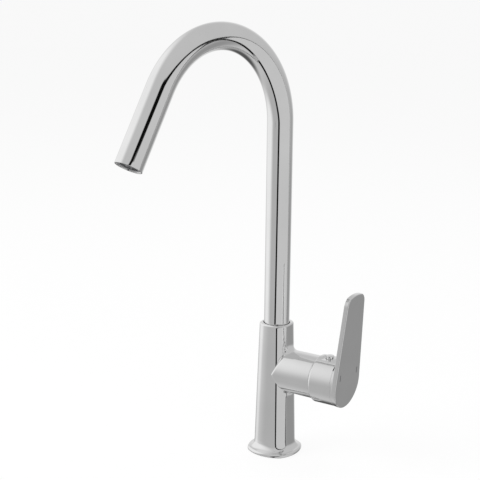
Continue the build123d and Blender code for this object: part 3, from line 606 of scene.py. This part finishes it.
def insert_plate(finish):
    """Perforated plate of the outlet, set in its cage."""
    tree, identifier = perforated_plate()
    mesh = bpy.data.meshes.new("blank")
    blank = in_scene("blank", mesh)
    modifier = blank.modifiers.new("perforated_plate", "NODES")
    modifier.node_group = tree
    for name, value in (("Disc radius", insert_r), ("Disc thickness", insert_thick),
                        ("Centre hole radius", nozzle_r + 0.05), ("Hole pitch", outlet_hole_pitch),
                        ("Hole radius", outlet_hole_r),
                        ("Field inner radius", nozzle_r + outlet_hole_r + 0.5),
                        ("Field outer radius", insert_r - outlet_hole_r - 0.35)):
        modifier[identifier[name]] = value * 0.001
    modifier[identifier["Finish"]] = finish
    seen = blank.evaluated_get(bpy.context.evaluated_depsgraph_get())
    plate = bpy.data.meshes.new_from_object(seen)
    blank.modifiers.clear()
    bpy.data.objects.remove(blank)
    points = np.empty(len(plate.vertices) * 3)
    plate.vertices.foreach_get("co", points)
    points = points.reshape(-1, 3) * 1000 + np.array([0, 0, insert_low + insert_thick / 2])
    plate.vertices.foreach_set("co", (at_outlet(points) * 0.001).ravel())
    plate.update()
    plate.set_sharp_from_angle(angle=radians(32))
    piece = in_scene("outlet_plate_finished", plate)
    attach(piece, "spout")
    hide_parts("outlet_plate")


def smooth_copy(node, body, finish):
    """A carried-over solid with its facets merged and shaded smooth."""
    skin = Skin()
    skin.from_solid(node, lambda centre, corners: np.ones(len(centre), bool))
    return skin.piece(node + "_finished", body, slot_of[node], finish, node)


# ------------------------------------------------------------------ lever
def on_plate(x, y, s):
    a = radians(lean)
    return np.array([plate_back_x + x * cos(a) + s * sin(a), y, branch_z - x * sin(a) + s * cos(a)])


def plate_back(z):
    """x of the plate's back face at height z."""
    return plate_back_x + (z - branch_z) * tan(radians(lean))


def plate_outline(inset=0.0):
    """Disc that runs up into the paddle, as (y, s) points, moved inwards by `inset`."""
    r = plate_r
    reach = hypot(paddle_top_half, paddle_shoulder)
    tilt = atan2(paddle_shoulder, paddle_top_half) - acos(r / reach)
    points = []
    for a in np.linspace(-pi / 2, tilt, 70):
        points.append((r * cos(a), r * sin(a), cos(a), sin(a)))
    n = (cos(tilt), sin(tilt))
    low = np.array([r * cos(tilt), r * sin(tilt)])
    high = np.array([paddle_top_half, paddle_shoulder])
    for t in np.linspace(0, 1, 26)[1:-1]:
        p = low + (high - low) * t
        points.append((p[0], p[1], n[0], n[1]))

    def through(a, m, b, count, last=True):
        a, m, b = (np.array(q, float) for q in (a, m, b))
        d = 2 * (a[0] * (m[1] - b[1]) + m[0] * (b[1] - a[1]) + b[0] * (a[1] - m[1]))
        cx = ((a @ a) * (m[1] - b[1]) + (m @ m) * (b[1] - a[1]) + (b @ b) * (a[1] - m[1])) / d
        cy = ((a @ a) * (b[0] - m[0]) + (m @ m) * (a[0] - b[0]) + (b @ b) * (m[0] - a[0])) / d
        start, end = atan2(a[1] - cy, a[0] - cx), atan2(b[1] - cy, b[0] - cx)
        if end < start:
            end += 2 * pi
        radius = hypot(a[0] - cx, a[1] - cy)
        steps = np.linspace(start, end, count)
        return [(cx + radius * cos(q), cy + radius * sin(q), cos(q), sin(q))
                for q in (steps if last else steps[:-1])]
    corner = (paddle_top_half - paddle_corner * 0.62, paddle_top - paddle_corner * 0.2)
    corner_mid = (paddle_top_half - paddle_corner * 0.17, paddle_top - paddle_corner * 0.66)
    points += through((paddle_top_half, paddle_shoulder), corner_mid, corner, 22, last=False)
    crown = through(corner, (0, paddle_top), (-corner[0], corner[1]), 41)
    points += crown[:21]
    half = points
    mirrored = [(-y, s, -ny, ns) for y, s, ny, ns in reversed(half[:-1])]
    ring = np.array(half + mirrored[:-1])
    return np.column_stack([ring[:, 0] - inset * ring[:, 2], ring[:, 1] - inset * ring[:, 3]])


def plate_piece(finish, finish_marks):
    skin = Skin()

    def ring(x, inset):
        return [on_plate(x, y, s) for y, s in plate_outline(inset)]
    edge = plate_edge
    rows = [ring(0.0, 0.9), ring(0.0, 0.35)]
    rows += [ring(0.3 * (1 - cos(radians(a))), 0.3 * (1 - sin(radians(a)))) for a in (20, 45, 70, 90)]
    rows += [ring(x, 0.0) for x in np.linspace(0.5, plate_thick - edge, 6)]
    rows += [ring(plate_thick - edge + edge * sin(radians(a)), edge * (1 - cos(radians(a))))
             for a in np.linspace(0, 90, 10)[1:]]
    rows += [ring(plate_thick, edge + 0.08), ring(plate_thick, edge + 0.5)]

    middle = on_plate(plate_thick / 2, 0, 30)
    skin.grid(rows, lambda c: c - middle, wrap=True)
    front = ring(plate_thick, edge + 0.5)
    normal = on_plate(1, 0, 0) - on_plate(0, 0, 0)
    skin.flat(front, normal)
    skin.flat(ring(0.0, 0.9), -normal)
    # collar between the cup's end and the leaning plate
    angles = np.linspace(0, 2 * pi, 180, endpoint=False)
    collar = [[(cup_end_x - 0.02, cup_r - 0.9, a) for a in angles],
              [(cup_end_x - 0.02, cup_r - 0.1, a) for a in angles],
              [(cup_end_x + 0.06, cup_r, a) for a in angles]]
    for t in np.linspace(0, 1, 6)[1:]:
        collar.append([((cup_end_x + 0.06) * (1 - t) + (plate_back(branch_z + cup_r * sin(a)) + 0.5) * t,
                        cup_r, a) for a in angles])
    collar = [[round_branch(*p) for p in row] for row in collar]
    skin.grid(collar, from_branch_axis, wrap=True)
    tongue(skin)
    plate = skin.piece("lever_plate_finished", "lever", "chrome", finish, "lever_plate", sharp=40)
    marks = Skin()
    for y in (-mark_y, mark_y):
        w, l = mark_width / 2, mark_length / 2
        outline = [(w * cos(a), (l - w) * (1 if a <= pi else -1) + w * sin(a))
                   for a in np.linspace(0, 2 * pi, 40, endpoint=False)]
        rows = []
        for x, inset in ((0.0, 0.0), (0.03, 0.0), (0.05, 0.12)):
            narrow, short = 1 - inset / w, 1 - inset / l
            rows.append([on_plate(plate_thick - 0.01 + x, y + p[0] * narrow, mark_s + p[1] * short)
                         for p in outline])
        marks.grid(rows, lambda c, y=y: c - on_plate(plate_thick - 1, y, mark_s), wrap=True)
        marks.flat(rows[-1], normal)
    marks.piece("lever_marks", "lever", "grey_plastic", finish_marks)
    return plate


def cup_outside(x):
    """Radius of the cup at x: an S of two arcs from the mouth to the full radius."""
    run = x - seam_x
    if run >= cup_flare:
        return cup_r
    half_rise, half_run = (cup_r - cup_mouth_r) / 2, cup_flare / 2
    bend = (half_rise ** 2 + half_run ** 2) / (2 * half_rise)
    if run < half_run:
        return cup_mouth_r + bend - sqrt(bend ** 2 - max(run, 0) ** 2)
    return cup_r - bend + sqrt(bend ** 2 - (cup_flare - run) ** 2)


def tongue_height(x, y):
    """Top of the tongue above the branch axis, with the flat round the button."""
    r = cup_outside(x)
    top = sqrt(max(r * r - y * y, 0))
    if spot_start < x < spot_end:
        share = eased(min((x - spot_start) / spot_ramp, (spot_end - x) / spot_step))
        return top + (min(top, spot_height) - top) * share
    return top


def tongue(skin):
    """Strip of the lever that runs back over the cup and carries the button."""
    flat_half = sqrt(cup_r ** 2 - spot_height ** 2)
    edge = 0.3
    xs = [seam_x + 0.0, seam_x + 0.08, seam_x + 0.25]
    xs += list(np.linspace(seam_x + 0.4, seam_x + cup_flare, 14))
    xs += [spot_start - 0.15, spot_start] + list(spot_start + spot_ramp * np.linspace(0, 1, 12)[1:])
    xs += list(np.linspace(spot_start + spot_ramp + 0.2, spot_end - spot_step - 0.15, 41))
    xs += list(spot_end - spot_step * np.linspace(0, 1, 8))
    xs = sorted(set(round(float(x), 4) for x in xs) | {spot_end, spot_end + 0.15})
    xs += list(np.linspace(spot_end + 0.8, cup_end_x + 0.5, 12))
    xs = sorted(set(xs))
    ys = sorted(set(np.round(list(np.linspace(-flat_half, flat_half, 69))
                             + list(np.linspace(flat_half, tongue_half - edge, 10))
                             + list(-np.linspace(flat_half, tongue_half - edge, 10)), 4)))
    ys = np.array(ys)
    top = np.array([[(x, y, branch_z + tongue_height(x, y)) for y in ys] for x in xs])

    def outside_hole(centre):
        return np.hypot(centre[:, 0] - button_x, centre[:, 1]) > button_hole_r + 0.55
    skin.grid(top, along((0, 0, 1)), keep=outside_hole)
    # land round the button's hole, its rounded edge and its wall
    rings = []
    angles = np.linspace(0, 2 * pi, 96, endpoint=False)
    for r in (button_hole_r + 0.95, button_hole_r + 0.2):
        rings.append([(button_x + r * cos(a), r * sin(a), branch_z + spot_height + 0.004) for a in angles])
    for b in np.linspace(0, 90, 6)[1:]:
        r = button_hole_r + 0.2 * (1 - sin(radians(b)))
        z = branch_z + spot_height + 0.004 - 0.2 * (1 - cos(radians(b)))
        rings.append([(button_x + r * cos(a), r * sin(a), z) for a in angles])
    skin.grid(rings, along((0, 0, 1)), wrap=True)
    wall = [[(button_x + button_hole_r * cos(a), button_hole_r * sin(a), branch_z + z) for a in angles]
            for z in (spot_height - 0.196, spot_height - 6.5)]
    centre_line = away_from_line((button_x, 0, 0), (0, 0, 1))
    skin.grid(wall, inward(centre_line), wrap=True)
    # rounded long edges and the sides down into the slot
    for side in (-1, 1):
        rows = []
        for b in np.linspace(0, 90, 6):
            y = side * (tongue_half - edge + edge * sin(radians(b)))
            rows.append([(x, y, branch_z + tongue_height(x, side * (tongue_half - edge))
                          - edge * (1 - cos(radians(b))) - 0.15 * sin(radians(b))) for x in xs])
        rows.append([(x, side * tongue_half, branch_z + 14.5) for x in xs])
        skin.grid(rows, along((0, side, 0.2)))
    mouth = [[(seam_x, y, branch_z + tongue_height(seam_x, y)) for y in ys],
             [(seam_x, y, branch_z + sqrt(21.25 ** 2 - y * y)) for y in ys]]
    skin.grid(mouth, along((-1, 0, 0)))
    under = [[(x, y, branch_z + sqrt(21.2 ** 2 - y * y) - 0.04 * (x - seam_x)) for y in ys]
             for x in np.linspace(seam_x, cup_end_x - 3, 8)]
    skin.grid(under, along((0, 0, -1)),
              keep=lambda c: np.hypot(c[:, 0] - button_x, c[:, 1]) > button_hole_r + 1.4)


def cup_piece(finish):
    """Cup of the lever: a C-shaped wall that leaves the slot for the tongue."""
    skin = Skin()
    slot = tongue_half + tongue_gap
    edge = 0.3

    def slot_edge(x, side, half, top, drop, b):
        """Point on the rounding between the cup's outside and the slot's wall."""
        y = side * (half + edge - edge * sin(radians(b)))
        return (x, y, branch_z + top - drop * (1 - cos(radians(b))))

    def section(x, half, outer, inner):
        """Closed loop of the wall at x: outside, slot edge, inside, slot edge."""
        loop = []
        start = acos(min(1.0, (half + edge) / outer))
        angles = np.linspace(pi - start, 2 * pi + start, 150)
        loop += [(x, outer * cos(a), branch_z + outer * sin(a)) for a in angles]
        right_top = sqrt(outer ** 2 - (half + edge) ** 2)
        inner = min(inner, outer - 0.3)
        bottom = sqrt(max(inner ** 2 - half ** 2, 0.0))
        drop = min(edge, 0.4 * (right_top - bottom))
        for b in (30, 60, 90):
            loop.append(slot_edge(x, 1, half, right_top, drop, b))
        loop.append((x, half, branch_z + bottom))
        start_in = acos(min(1.0, half / inner))
        loop += [(x, inner * cos(a), branch_z + inner * sin(a))
                 for a in np.linspace(2 * pi + start_in, pi - start_in, 120)[1:]]
        loop.append((x, -half, branch_z + right_top - drop))
        for b in (60, 30):
            loop.append(slot_edge(x, -1, half, right_top, drop, b))
        return loop

    stations = [(seam_x + run, cup_mouth_r - drop) for run, drop in ((0, 0.12), (0.05, 0.03), (0.14, 0))]
    stations += [(x, cup_outside(x)) for x in np.linspace(seam_x + 0.3, seam_x + cup_flare, 18)]
    stations += [(x, cup_r) for x in np.linspace(seam_x + cup_flare + 0.2, cup_end_x - cup_end_round, 28)]
    wide = cup_end_x - notch_width
    rows = []
    for x, r in stations:
        if x < wide:
            rows.append(section(x, slot, r, 21.25 - 0.045 * (x - seam_x)))

    def outward(centre):
        v = from_branch_axis(centre)
        radial = np.hypot(centre[:, 1], centre[:, 2] - branch_z)
        flip = np.where(radial < 21.3, -1.0, 1.0)
        return v * flip[:, None]
    rows.append(section(wide, slot, cup_r, 20.2))
    skin.grid(rows, outward, wrap=True)
    end = []
    end.append(section(cup_end_x - notch_width, notch_half, cup_r, 20.2))
    for a in np.linspace(0, 90, 7):
        x = cup_end_x - cup_end_round + cup_end_round * sin(radians(a))
        r = cup_r - cup_end_round + cup_end_round * cos(radians(a))
        end.append(section(x, notch_half, r, 20.2))
    skin.grid(end, outward, wrap=True)
    skin.grid([end[0], rows[-1]], along((1, 0, 0)), wrap=True)
    loop = np.array(rows[0])
    count = 120
    o = loop[np.linspace(0, 149, count).astype(int)]
    i = np.array([(seam_x, 21.25 * cos(a), branch_z + 21.25 * sin(a)) for a in
                  np.linspace(pi - acos(slot / 21.25), 2 * pi + acos(slot / 21.25), count)])
    skin.grid([o, i], along((-1, 0, 0)))

    def inner(centre, corners):
        radial = np.hypot(centre[:, 1], centre[:, 2] - branch_z)
        x = centre[:, 0]
        floor = (x > 70) & (radial < 20.6) & (corners[:, :, 0].ptp(1) < 0.01)
        core = (radial < 18.0)
        return floor | core
    skin.from_solid("lever_cup", inner)
    return skin.piece("lever_cup_finished", "lever", "chrome", finish, "lever_cup")


def button_piece(finish):
    skin = Skin()
    angles = np.linspace(0, 2 * pi, 96, endpoint=False)
    dome_r = (button_r ** 2 + button_dome ** 2) / (2 * button_dome)
    round_ = 0.3
    profile = [(button_r, button_edge - 4.1), (button_r, button_edge - 2.0), (button_r, button_edge - 0.7)]
    profile += [(button_r - round_ + round_ * cos(a), button_edge - round_ + round_ * sin(a))
                for a in np.radians(np.linspace(0, 84, 8))]
    for r in np.linspace(button_r - round_ - 0.06, 0.02, 16):
        profile.append((r, button_edge + button_dome - dome_r + sqrt(dome_r ** 2 - r * r)))
    rows = [[(button_x + r * cos(a), r * sin(a), branch_z + z) for a in angles] for r, z in profile]
    middle = np.array([button_x, 0, branch_z + button_edge - 3])
    skin.grid(rows, lambda c: c - middle, wrap=True)
    skin.flat(rows[-1], (0, 0, 1))

    def stem(centre, corners):
        return centre[:, 2] < branch_z + button_edge - 4.0
    skin.from_solid("selector_button", stem)
    return skin.piece("button_finished", "button", "chrome", finish, "selector_button")


# ------------------------------------------------------------------ finishes
def node_material(name):
    material = bpy.data.materials.new(name)
    material.use_nodes = True
    tree = material.node_tree
    tree.nodes.clear()
    out = tree.nodes.new("ShaderNodeOutputMaterial")
    shader = tree.nodes.new("ShaderNodeBsdfPrincipled")
    tree.links.new(shader.outputs[0], out.inputs[0])
    place = tree.nodes.new("ShaderNodeTexCoord")
    return material, tree, shader, place


def noise(tree, place, scale, detail=3.0, roughness=0.5, stretch=None):
    texture = tree.nodes.new("ShaderNodeTexNoise")
    texture.inputs["Scale"].default_value = scale
    texture.inputs["Detail"].default_value = detail
    texture.inputs["Roughness"].default_value = roughness
    source = place.outputs["Object"]
    if stretch:
        mapping = tree.nodes.new("ShaderNodeMapping")
        mapping.inputs["Scale"].default_value = stretch
        tree.links.new(source, mapping.inputs["Vector"])
        source = mapping.outputs[0]
    tree.links.new(source, texture.inputs["Vector"])
    return texture.outputs["Fac"]


def ranged(tree, value, low, high, from_low=0.3, from_high=0.7):
    node = tree.nodes.new("ShaderNodeMapRange")
    node.inputs["From Min"].default_value = from_low
    node.inputs["From Max"].default_value = from_high
    node.inputs["To Min"].default_value = low
    node.inputs["To Max"].default_value = high
    tree.links.new(value, node.inputs["Value"])
    return node.outputs[0]


def tinted(tree, value, low, high):
    ramp = tree.nodes.new("ShaderNodeValToRGB")
    ramp.color_ramp.elements[0].position = 0.3
    ramp.color_ramp.elements[1].position = 0.7
    ramp.color_ramp.elements[0].color = (*low, 1)
    ramp.color_ramp.elements[1].color = (*high, 1)
    tree.links.new(value, ramp.inputs[0])
    return ramp.outputs[0]


def bumped(tree, shader, value, strength, distance):
    bump = tree.nodes.new("ShaderNodeBump")
    bump.inputs["Strength"].default_value = strength
    bump.inputs["Distance"].default_value = distance
    tree.links.new(value, bump.inputs["Height"])
    tree.links.new(bump.outputs[0], shader.inputs["Normal"])


def surface(name, low, high, rough, metallic, grain, bump, coat=0.0, stretch=None, sheen=0.0):
    """One finish: colour and roughness drift slowly, and a fine grain lifts the surface."""
    material, tree, shader, place = node_material(name)
    shader.inputs["Metallic"].default_value = metallic
    shader.inputs["Coat Weight"].default_value = coat
    drift = noise(tree, place, 28.0, 3.0)
    fine = noise(tree, place, grain, 4.0, 0.6, stretch)
    tree.links.new(tinted(tree, drift, low, high), shader.inputs["Base Color"])
    tree.links.new(ranged(tree, fine, rough[0], rough[1]), shader.inputs["Roughness"])
    bumped(tree, shader, fine, bump[0], bump[1])
    return material


chrome = surface("bright_chrome", (0.80, 0.80, 0.80), (0.84, 0.84, 0.84), (0.035, 0.065), 1.0,
                 420.0, (0.012, 0.0001))
chrome_flat = surface("bright_chrome_lever", (0.79, 0.79, 0.79), (0.83, 0.83, 0.83),
                      (0.06, 0.11), 1.0, 520.0, (0.02, 0.0001))
brass = surface("turned_brass", (0.62, 0.47, 0.22), (0.72, 0.57, 0.30), (0.22, 0.36), 1.0, 900.0,
                (0.15, 0.0001), stretch=(1.0, 1.0, 6.0))
stainless = surface("stainless_steel", (0.52, 0.53, 0.54), (0.62, 0.63, 0.64), (0.22, 0.36), 1.0,
                    1100.0, (0.10, 0.0001))
# painted shade: the outlet plate's steel is made dark to stand for the shade inside the outlet's recess
painted_shade_steel = surface("outlet_steel_with_painted_shade", (0.16, 0.165, 0.17), (0.30, 0.305, 0.31), (0.30, 0.45), 1.0,
                       1300.0, (0.15, 0.0001))
rubber = surface("black_rubber", (0.012, 0.012, 0.013), (0.03, 0.03, 0.03), (0.55, 0.72), 0.0,
                 1600.0, (0.25, 0.0001))
white_plastic = surface("white_acetal", (0.76, 0.76, 0.73), (0.84, 0.84, 0.81), (0.34, 0.46), 0.0,
                        700.0, (0.12, 0.0001))
valve_plastic = surface("filled_plastic", (0.20, 0.22, 0.25), (0.28, 0.31, 0.34), (0.42, 0.56), 0.0,
                        900.0, (0.20, 0.0001))
grey_plastic = surface("grey_plastic", (0.20, 0.20, 0.21), (0.27, 0.27, 0.28), (0.38, 0.52), 0.0,
                       900.0, (0.15, 0.0001))
ceramic = surface("lapped_ceramic", (0.80, 0.79, 0.76), (0.88, 0.87, 0.84), (0.16, 0.26), 0.0,
                  500.0, (0.04, 0.0001), coat=0.3)
plated_brass = surface("nickelled_brass", (0.66, 0.66, 0.65), (0.74, 0.74, 0.73), (0.10, 0.18), 1.0,
                       900.0, (0.06, 0.0001))
enamel = surface("dark_enamel", (0.045, 0.045, 0.05), (0.075, 0.075, 0.08), (0.28, 0.40), 0.0,
                 1200.0, (0.08, 0.0001))
by_slot = {"chrome": chrome, "brass": brass, "stainless": stainless, "rubber": rubber,
           "white_plastic": white_plastic, "valve_plastic": valve_plastic,
           "grey_plastic": grey_plastic, "ceramic": ceramic}
slot_of = {part["node"]: part["material_slot"] for part in frame["record"]["subparts"]}
for node, slot in slot_of.items():
    solids[node].data.materials.clear()
    solids[node].data.materials.append(by_slot[slot])

body_piece(chrome)
spout_piece(chrome)
cup_piece(chrome)
plate_piece(chrome_flat, enamel)
button_piece(chrome)
# the outlet plate gets the dark steel, painted shade of the outlet's recess
insert_plate(painted_shade_steel)
for node, body in (("base_seal", "fixed"), ("spout_stop_screw", "fixed"), ("spout_glide_washer", "spout"),
                   ("outlet_cage", "spout"), ("filtered_water_nozzle", "spout"),
                   ("grub_screw_plug", "lever"), ("lever_grub_screw", "lever")):
    smooth_copy(node, body, by_slot[slot_of[node]])
smooth_copy("outlet_ferrule", "spout", plated_brass)
spring = smooth_copy("button_spring", "lever", stainless)
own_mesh(spring)


# ------------------------------------------------------------------ studio
def stage_mesh(name, points, faces, material):
    mesh = bpy.data.meshes.new(name)
    mesh.from_pydata(points, [], faces)
    mesh.materials.append(material)
    item = in_scene(name, mesh)
    return item


def seeing_rays(tree):
    """1 for the rays that look at the background, straight, in metal or through glass."""
    rays = tree.nodes.new("ShaderNodeLightPath")
    level = rays.outputs["Is Camera Ray"]
    for kind in ("Is Glossy Ray", "Is Transmission Ray"):
        highest = tree.nodes.new("ShaderNodeMath")
        highest.operation = "MAXIMUM"
        tree.links.new(level, highest.inputs[0])
        tree.links.new(rays.outputs[kind], highest.inputs[1])
        level = highest.outputs[0]
    return level


floor_paint, tree, shader, place = node_material("pale_floor")
speckle = noise(tree, place, 60.0, 2.0)
tree.links.new(tinted(tree, speckle, (0.86, 0.86, 0.86), (0.89, 0.89, 0.89)), shader.inputs["Base Color"])
shader.inputs["Roughness"].default_value = 0.9
shade = tree.nodes.new("ShaderNodeMath")
shade.operation = "MULTIPLY"
shade.inputs[1].default_value = 0.9
tree.links.new(seeing_rays(tree), shade.inputs[0])
white = tree.nodes.new("ShaderNodeEmission")
white.inputs["Strength"].default_value = 1.0
mix = tree.nodes.new("ShaderNodeMixShader")
tree.links.new(shade.outputs[0], mix.inputs[0])
tree.links.new(shader.outputs[0], mix.inputs[1])
tree.links.new(white.outputs[0], mix.inputs[2])
output = next(n for n in tree.nodes if n.type == "OUTPUT_MATERIAL")
tree.links.new(mix.outputs[0], output.inputs[0])
floor = stage_mesh("floor", [(-40, -40, -0.0005), (40, -40, -0.0005), (40, 40, -0.0005), (-40, 40, -0.0005)],
                   [(0, 1, 2, 3)], floor_paint)
floor.visible_glossy = False

camera_bearing = -58.0


def heading(bearing, height):
    """Unit vector of a direction given from the camera's bearing, in degrees."""
    a, e = radians(camera_bearing + bearing), radians(height)
    return (cos(e) * cos(a), cos(e) * sin(a), sin(e))


# A round tent of reflectors that only the metal sees: each panel is a soft-edged disc of light.
tent_paint = bpy.data.materials.new("studio_tent")
tent_paint.use_nodes = True
tree = tent_paint.node_tree
tree.nodes.clear()
output = tree.nodes.new("ShaderNodeOutputMaterial")
glow = tree.nodes.new("ShaderNodeEmission")
tree.links.new(glow.outputs[0], output.inputs[0])
place = tree.nodes.new("ShaderNodeTexCoord")
unit = tree.nodes.new("ShaderNodeVectorMath")
unit.operation = "NORMALIZE"
tree.links.new(place.outputs["Object"], unit.inputs[0])


def share_along(direction):
    """Share of the surface point's direction that lies along the one given."""
    dot = tree.nodes.new("ShaderNodeVectorMath")
    dot.operation = "DOT_PRODUCT"
    dot.inputs[1].default_value = direction
    tree.links.new(unit.outputs[0], dot.inputs[0])
    return dot.outputs["Value"]


def angle_from(bearing, height):
    """Angle between the surface point's direction and the one given."""
    return combine("ARCCOSINE", share_along(heading(bearing, height)))


def within(reach, half_angle, soft):
    """1 inside half_angle degrees, falling smoothly to 0 over the soft edge."""
    share = tree.nodes.new("ShaderNodeMapRange")
    share.interpolation_type = "SMOOTHSTEP"
    share.inputs["From Min"].default_value = radians(half_angle + soft)
    share.inputs["From Max"].default_value = radians(half_angle - soft)
    tree.links.new(reach, share.inputs["Value"])
    return share.outputs[0]


def combine(operation, *values):
    node = tree.nodes.new("ShaderNodeMath")
    node.operation = operation
    for socket, value in zip(node.inputs, values):
        if isinstance(value, float):
            socket.default_value = value
        else:
            tree.links.new(value, socket)
    return node.outputs[0]


def laid_over(level, share, value):
    mixed = tree.nodes.new("ShaderNodeMix")
    mixed.data_type = "FLOAT"
    tree.links.new(share, mixed.inputs[0])
    if isinstance(level, float):
        mixed.inputs[2].default_value = level
    else:
        tree.links.new(level, mixed.inputs[2])
    mixed.inputs[3].default_value = value
    return mixed.outputs[0]


def panel(level, bearing, height, half_angle, soft, value):
    return laid_over(level, within(angle_from(bearing, height), half_angle, soft), value)


def round_curve(round_it, low, span, points):
    """Smooth value that follows `points`, (angle in degrees, value), once round."""
    position = tree.nodes.new("ShaderNodeMapRange")
    position.inputs["From Min"].default_value = -pi
    position.inputs["From Max"].default_value = pi
    tree.links.new(round_it, position.inputs["Value"])
    curve = tree.nodes.new("ShaderNodeFloatCurve")
    handles = curve.mapping.curves[0].points
    scaled = [((angle + 180) / 360, (value - low) / span) for angle, value in points]
    handles[0].location, handles[1].location = scaled[0], scaled[-1]
    for place_on in scaled[1:-1]:
        handles.new(*place_on)
    curve.mapping.update()
    tree.links.new(position.outputs[0], curve.inputs["Value"])
    return combine("MULTIPLY_ADD", curve.outputs[0], radians(span), radians(low))


def egg_reflector(level, bearing, height, outline, value, edge, edge_value):
    """Egg-shaped reflector with a dark edge. `outline` gives its reach in degrees at angles
    round it, and `edge` the half width of its edge."""
    centre = np.array(heading(bearing, height))
    level_axis = np.cross((0, 0, 1), centre)
    level_axis /= np.linalg.norm(level_axis)
    parts = [share_along(tuple(axis)) for axis in (np.cross(centre, level_axis), level_axis)]
    round_it = combine("ARCTAN2", *parts)
    reach = round_curve(round_it, 40.0, 30.0, outline)
    width = round_curve(round_it, 0.0, 10.0, edge)
    beyond = combine("SUBTRACT", angle_from(bearing, height), reach)
    level = laid_over(level, within(beyond, 0.0, 0.8), value)
    share = tree.nodes.new("ShaderNodeMapRange")
    share.interpolation_type = "SMOOTHSTEP"
    share.inputs["From Min"].default_value = 1.3
    share.inputs["From Max"].default_value = 0.75
    tree.links.new(combine("DIVIDE", combine("ABSOLUTE", beyond), width), share.inputs["Value"])
    return laid_over(level, share.outputs[0], edge_value)


level = panel(0.60, -50, -25, 40, 16, 0.50)
level = panel(level, -108, 18, 44, 14, 0.96)
level = panel(level, 180, 0, 30, 14, 0.80)
level = panel(level, -168, -42, 22, 12, 0.10)
level = panel(level, 118, -22, 22, 14, 0.33)
# The next two lists are traced from the photograph's dark line by another program, then rounded
# and partly changed: (angle round the reflector, degrees).
egg = ((-180, 54.0), (-165, 55.3), (-120, 55.0), (-95, 53.2), (-70, 51.1), (-45, 50.2), (-28, 50.6),
       (-14, 52.0), (-2, 53.5), (12, 55.2), (21, 56.1), (30, 56.4), (44, 55.3), (58, 53.6), (75, 52.8),
       (96, 53.2), (108, 58.0), (125, 58.4), (150, 55.5), (180, 54.0))
egg_edge = ((-180, 6.1), (-110, 6.1), (-78, 5.2), (-54, 4.0), (-29, 2.6), (-7, 1.1), (3, 0.7),
            (14, 0.7), (36, 1.6), (61, 2.4), (86, 4.2), (105, 6.4), (140, 6.8), (180, 6.1))
level = egg_reflector(level, 42.5, -25.3, egg, 0.64, egg_edge, 0.004)
tree.links.new(level, glow.inputs["Strength"])

ball = bmesh.new()
bmesh.ops.create_uvsphere(ball, u_segments=64, v_segments=32, radius=6.0)
tent_mesh = bpy.data.meshes.new("studio_tent")
ball.to_mesh(tent_mesh)
ball.free()
tent_mesh.materials.append(tent_paint)
tent = in_scene("studio_tent", tent_mesh)
for side in ("camera", "diffuse", "shadow", "transmission", "volume_scatter"):
    setattr(tent, "visible_" + side, False)

world = bpy.data.worlds.new("studio")
bpy.context.scene.world = world
world.use_nodes = True
tree = world.node_tree
tree.nodes.clear()
output = tree.nodes.new("ShaderNodeOutputWorld")
back = tree.nodes.new("ShaderNodeBackground")
back.inputs["Color"].default_value = (1, 1, 1, 1)
strength = tree.nodes.new("ShaderNodeMapRange")
strength.inputs["To Min"].default_value = 0.45
strength.inputs["To Max"].default_value = 1.0
tree.links.new(seeing_rays(tree), strength.inputs["Value"])
tree.links.new(strength.outputs[0], back.inputs["Strength"])
tree.links.new(back.outputs[0], output.inputs[0])


def softbox(name, place, aim, size, power):
    light = bpy.data.lights.new(name, "AREA")
    light.shape = "RECTANGLE"
    light.size, light.size_y = size
    light.energy = power
    lamp = in_scene(name, light)
    lamp.location = place
    lamp.rotation_euler = (Vector(aim) - Vector(place)).to_track_quat("-Z", "Y").to_euler()
    lamp.visible_glossy = False
    return lamp


softbox("key_softbox", (-1.1, -1.3, 1.5), (0, 0, 0.2), (1.2, 1.2), 26)
softbox("fill_softbox", (1.5, -0.9, 1.1), (0, 0, 0.2), (1.4, 1.4), 12)
softbox("top_softbox", (0.0, 0.4, 2.0), (0, 0, 0.2), (1.6, 1.6), 14)

# ------------------------------------------------------------------ camera
camera_data = bpy.data.cameras.new("camera")
camera_data.sensor_width = 36.0
camera_data.lens = 86.02
camera = in_scene("camera", camera_data)
camera.location = (0.5737, -0.9174, 0.4714)
yaw, pitch, roll = radians(32.02 + 1.958), radians(-13.30), radians(0.548)
forward = Vector((-sin(yaw) * cos(pitch), cos(yaw) * cos(pitch), sin(pitch)))
right = Vector((cos(yaw), sin(yaw), 0))
above = right.cross(forward)
right, above = (right * cos(roll) + above * sin(roll), above * cos(roll) - right * sin(roll))
turn = [list(row) for row in zip(right, above, -forward)]
camera.rotation_euler = Matrix(turn).to_euler()
bpy.context.scene.camera = camera
bpy.context.scene.view_settings.view_transform = "Standard"
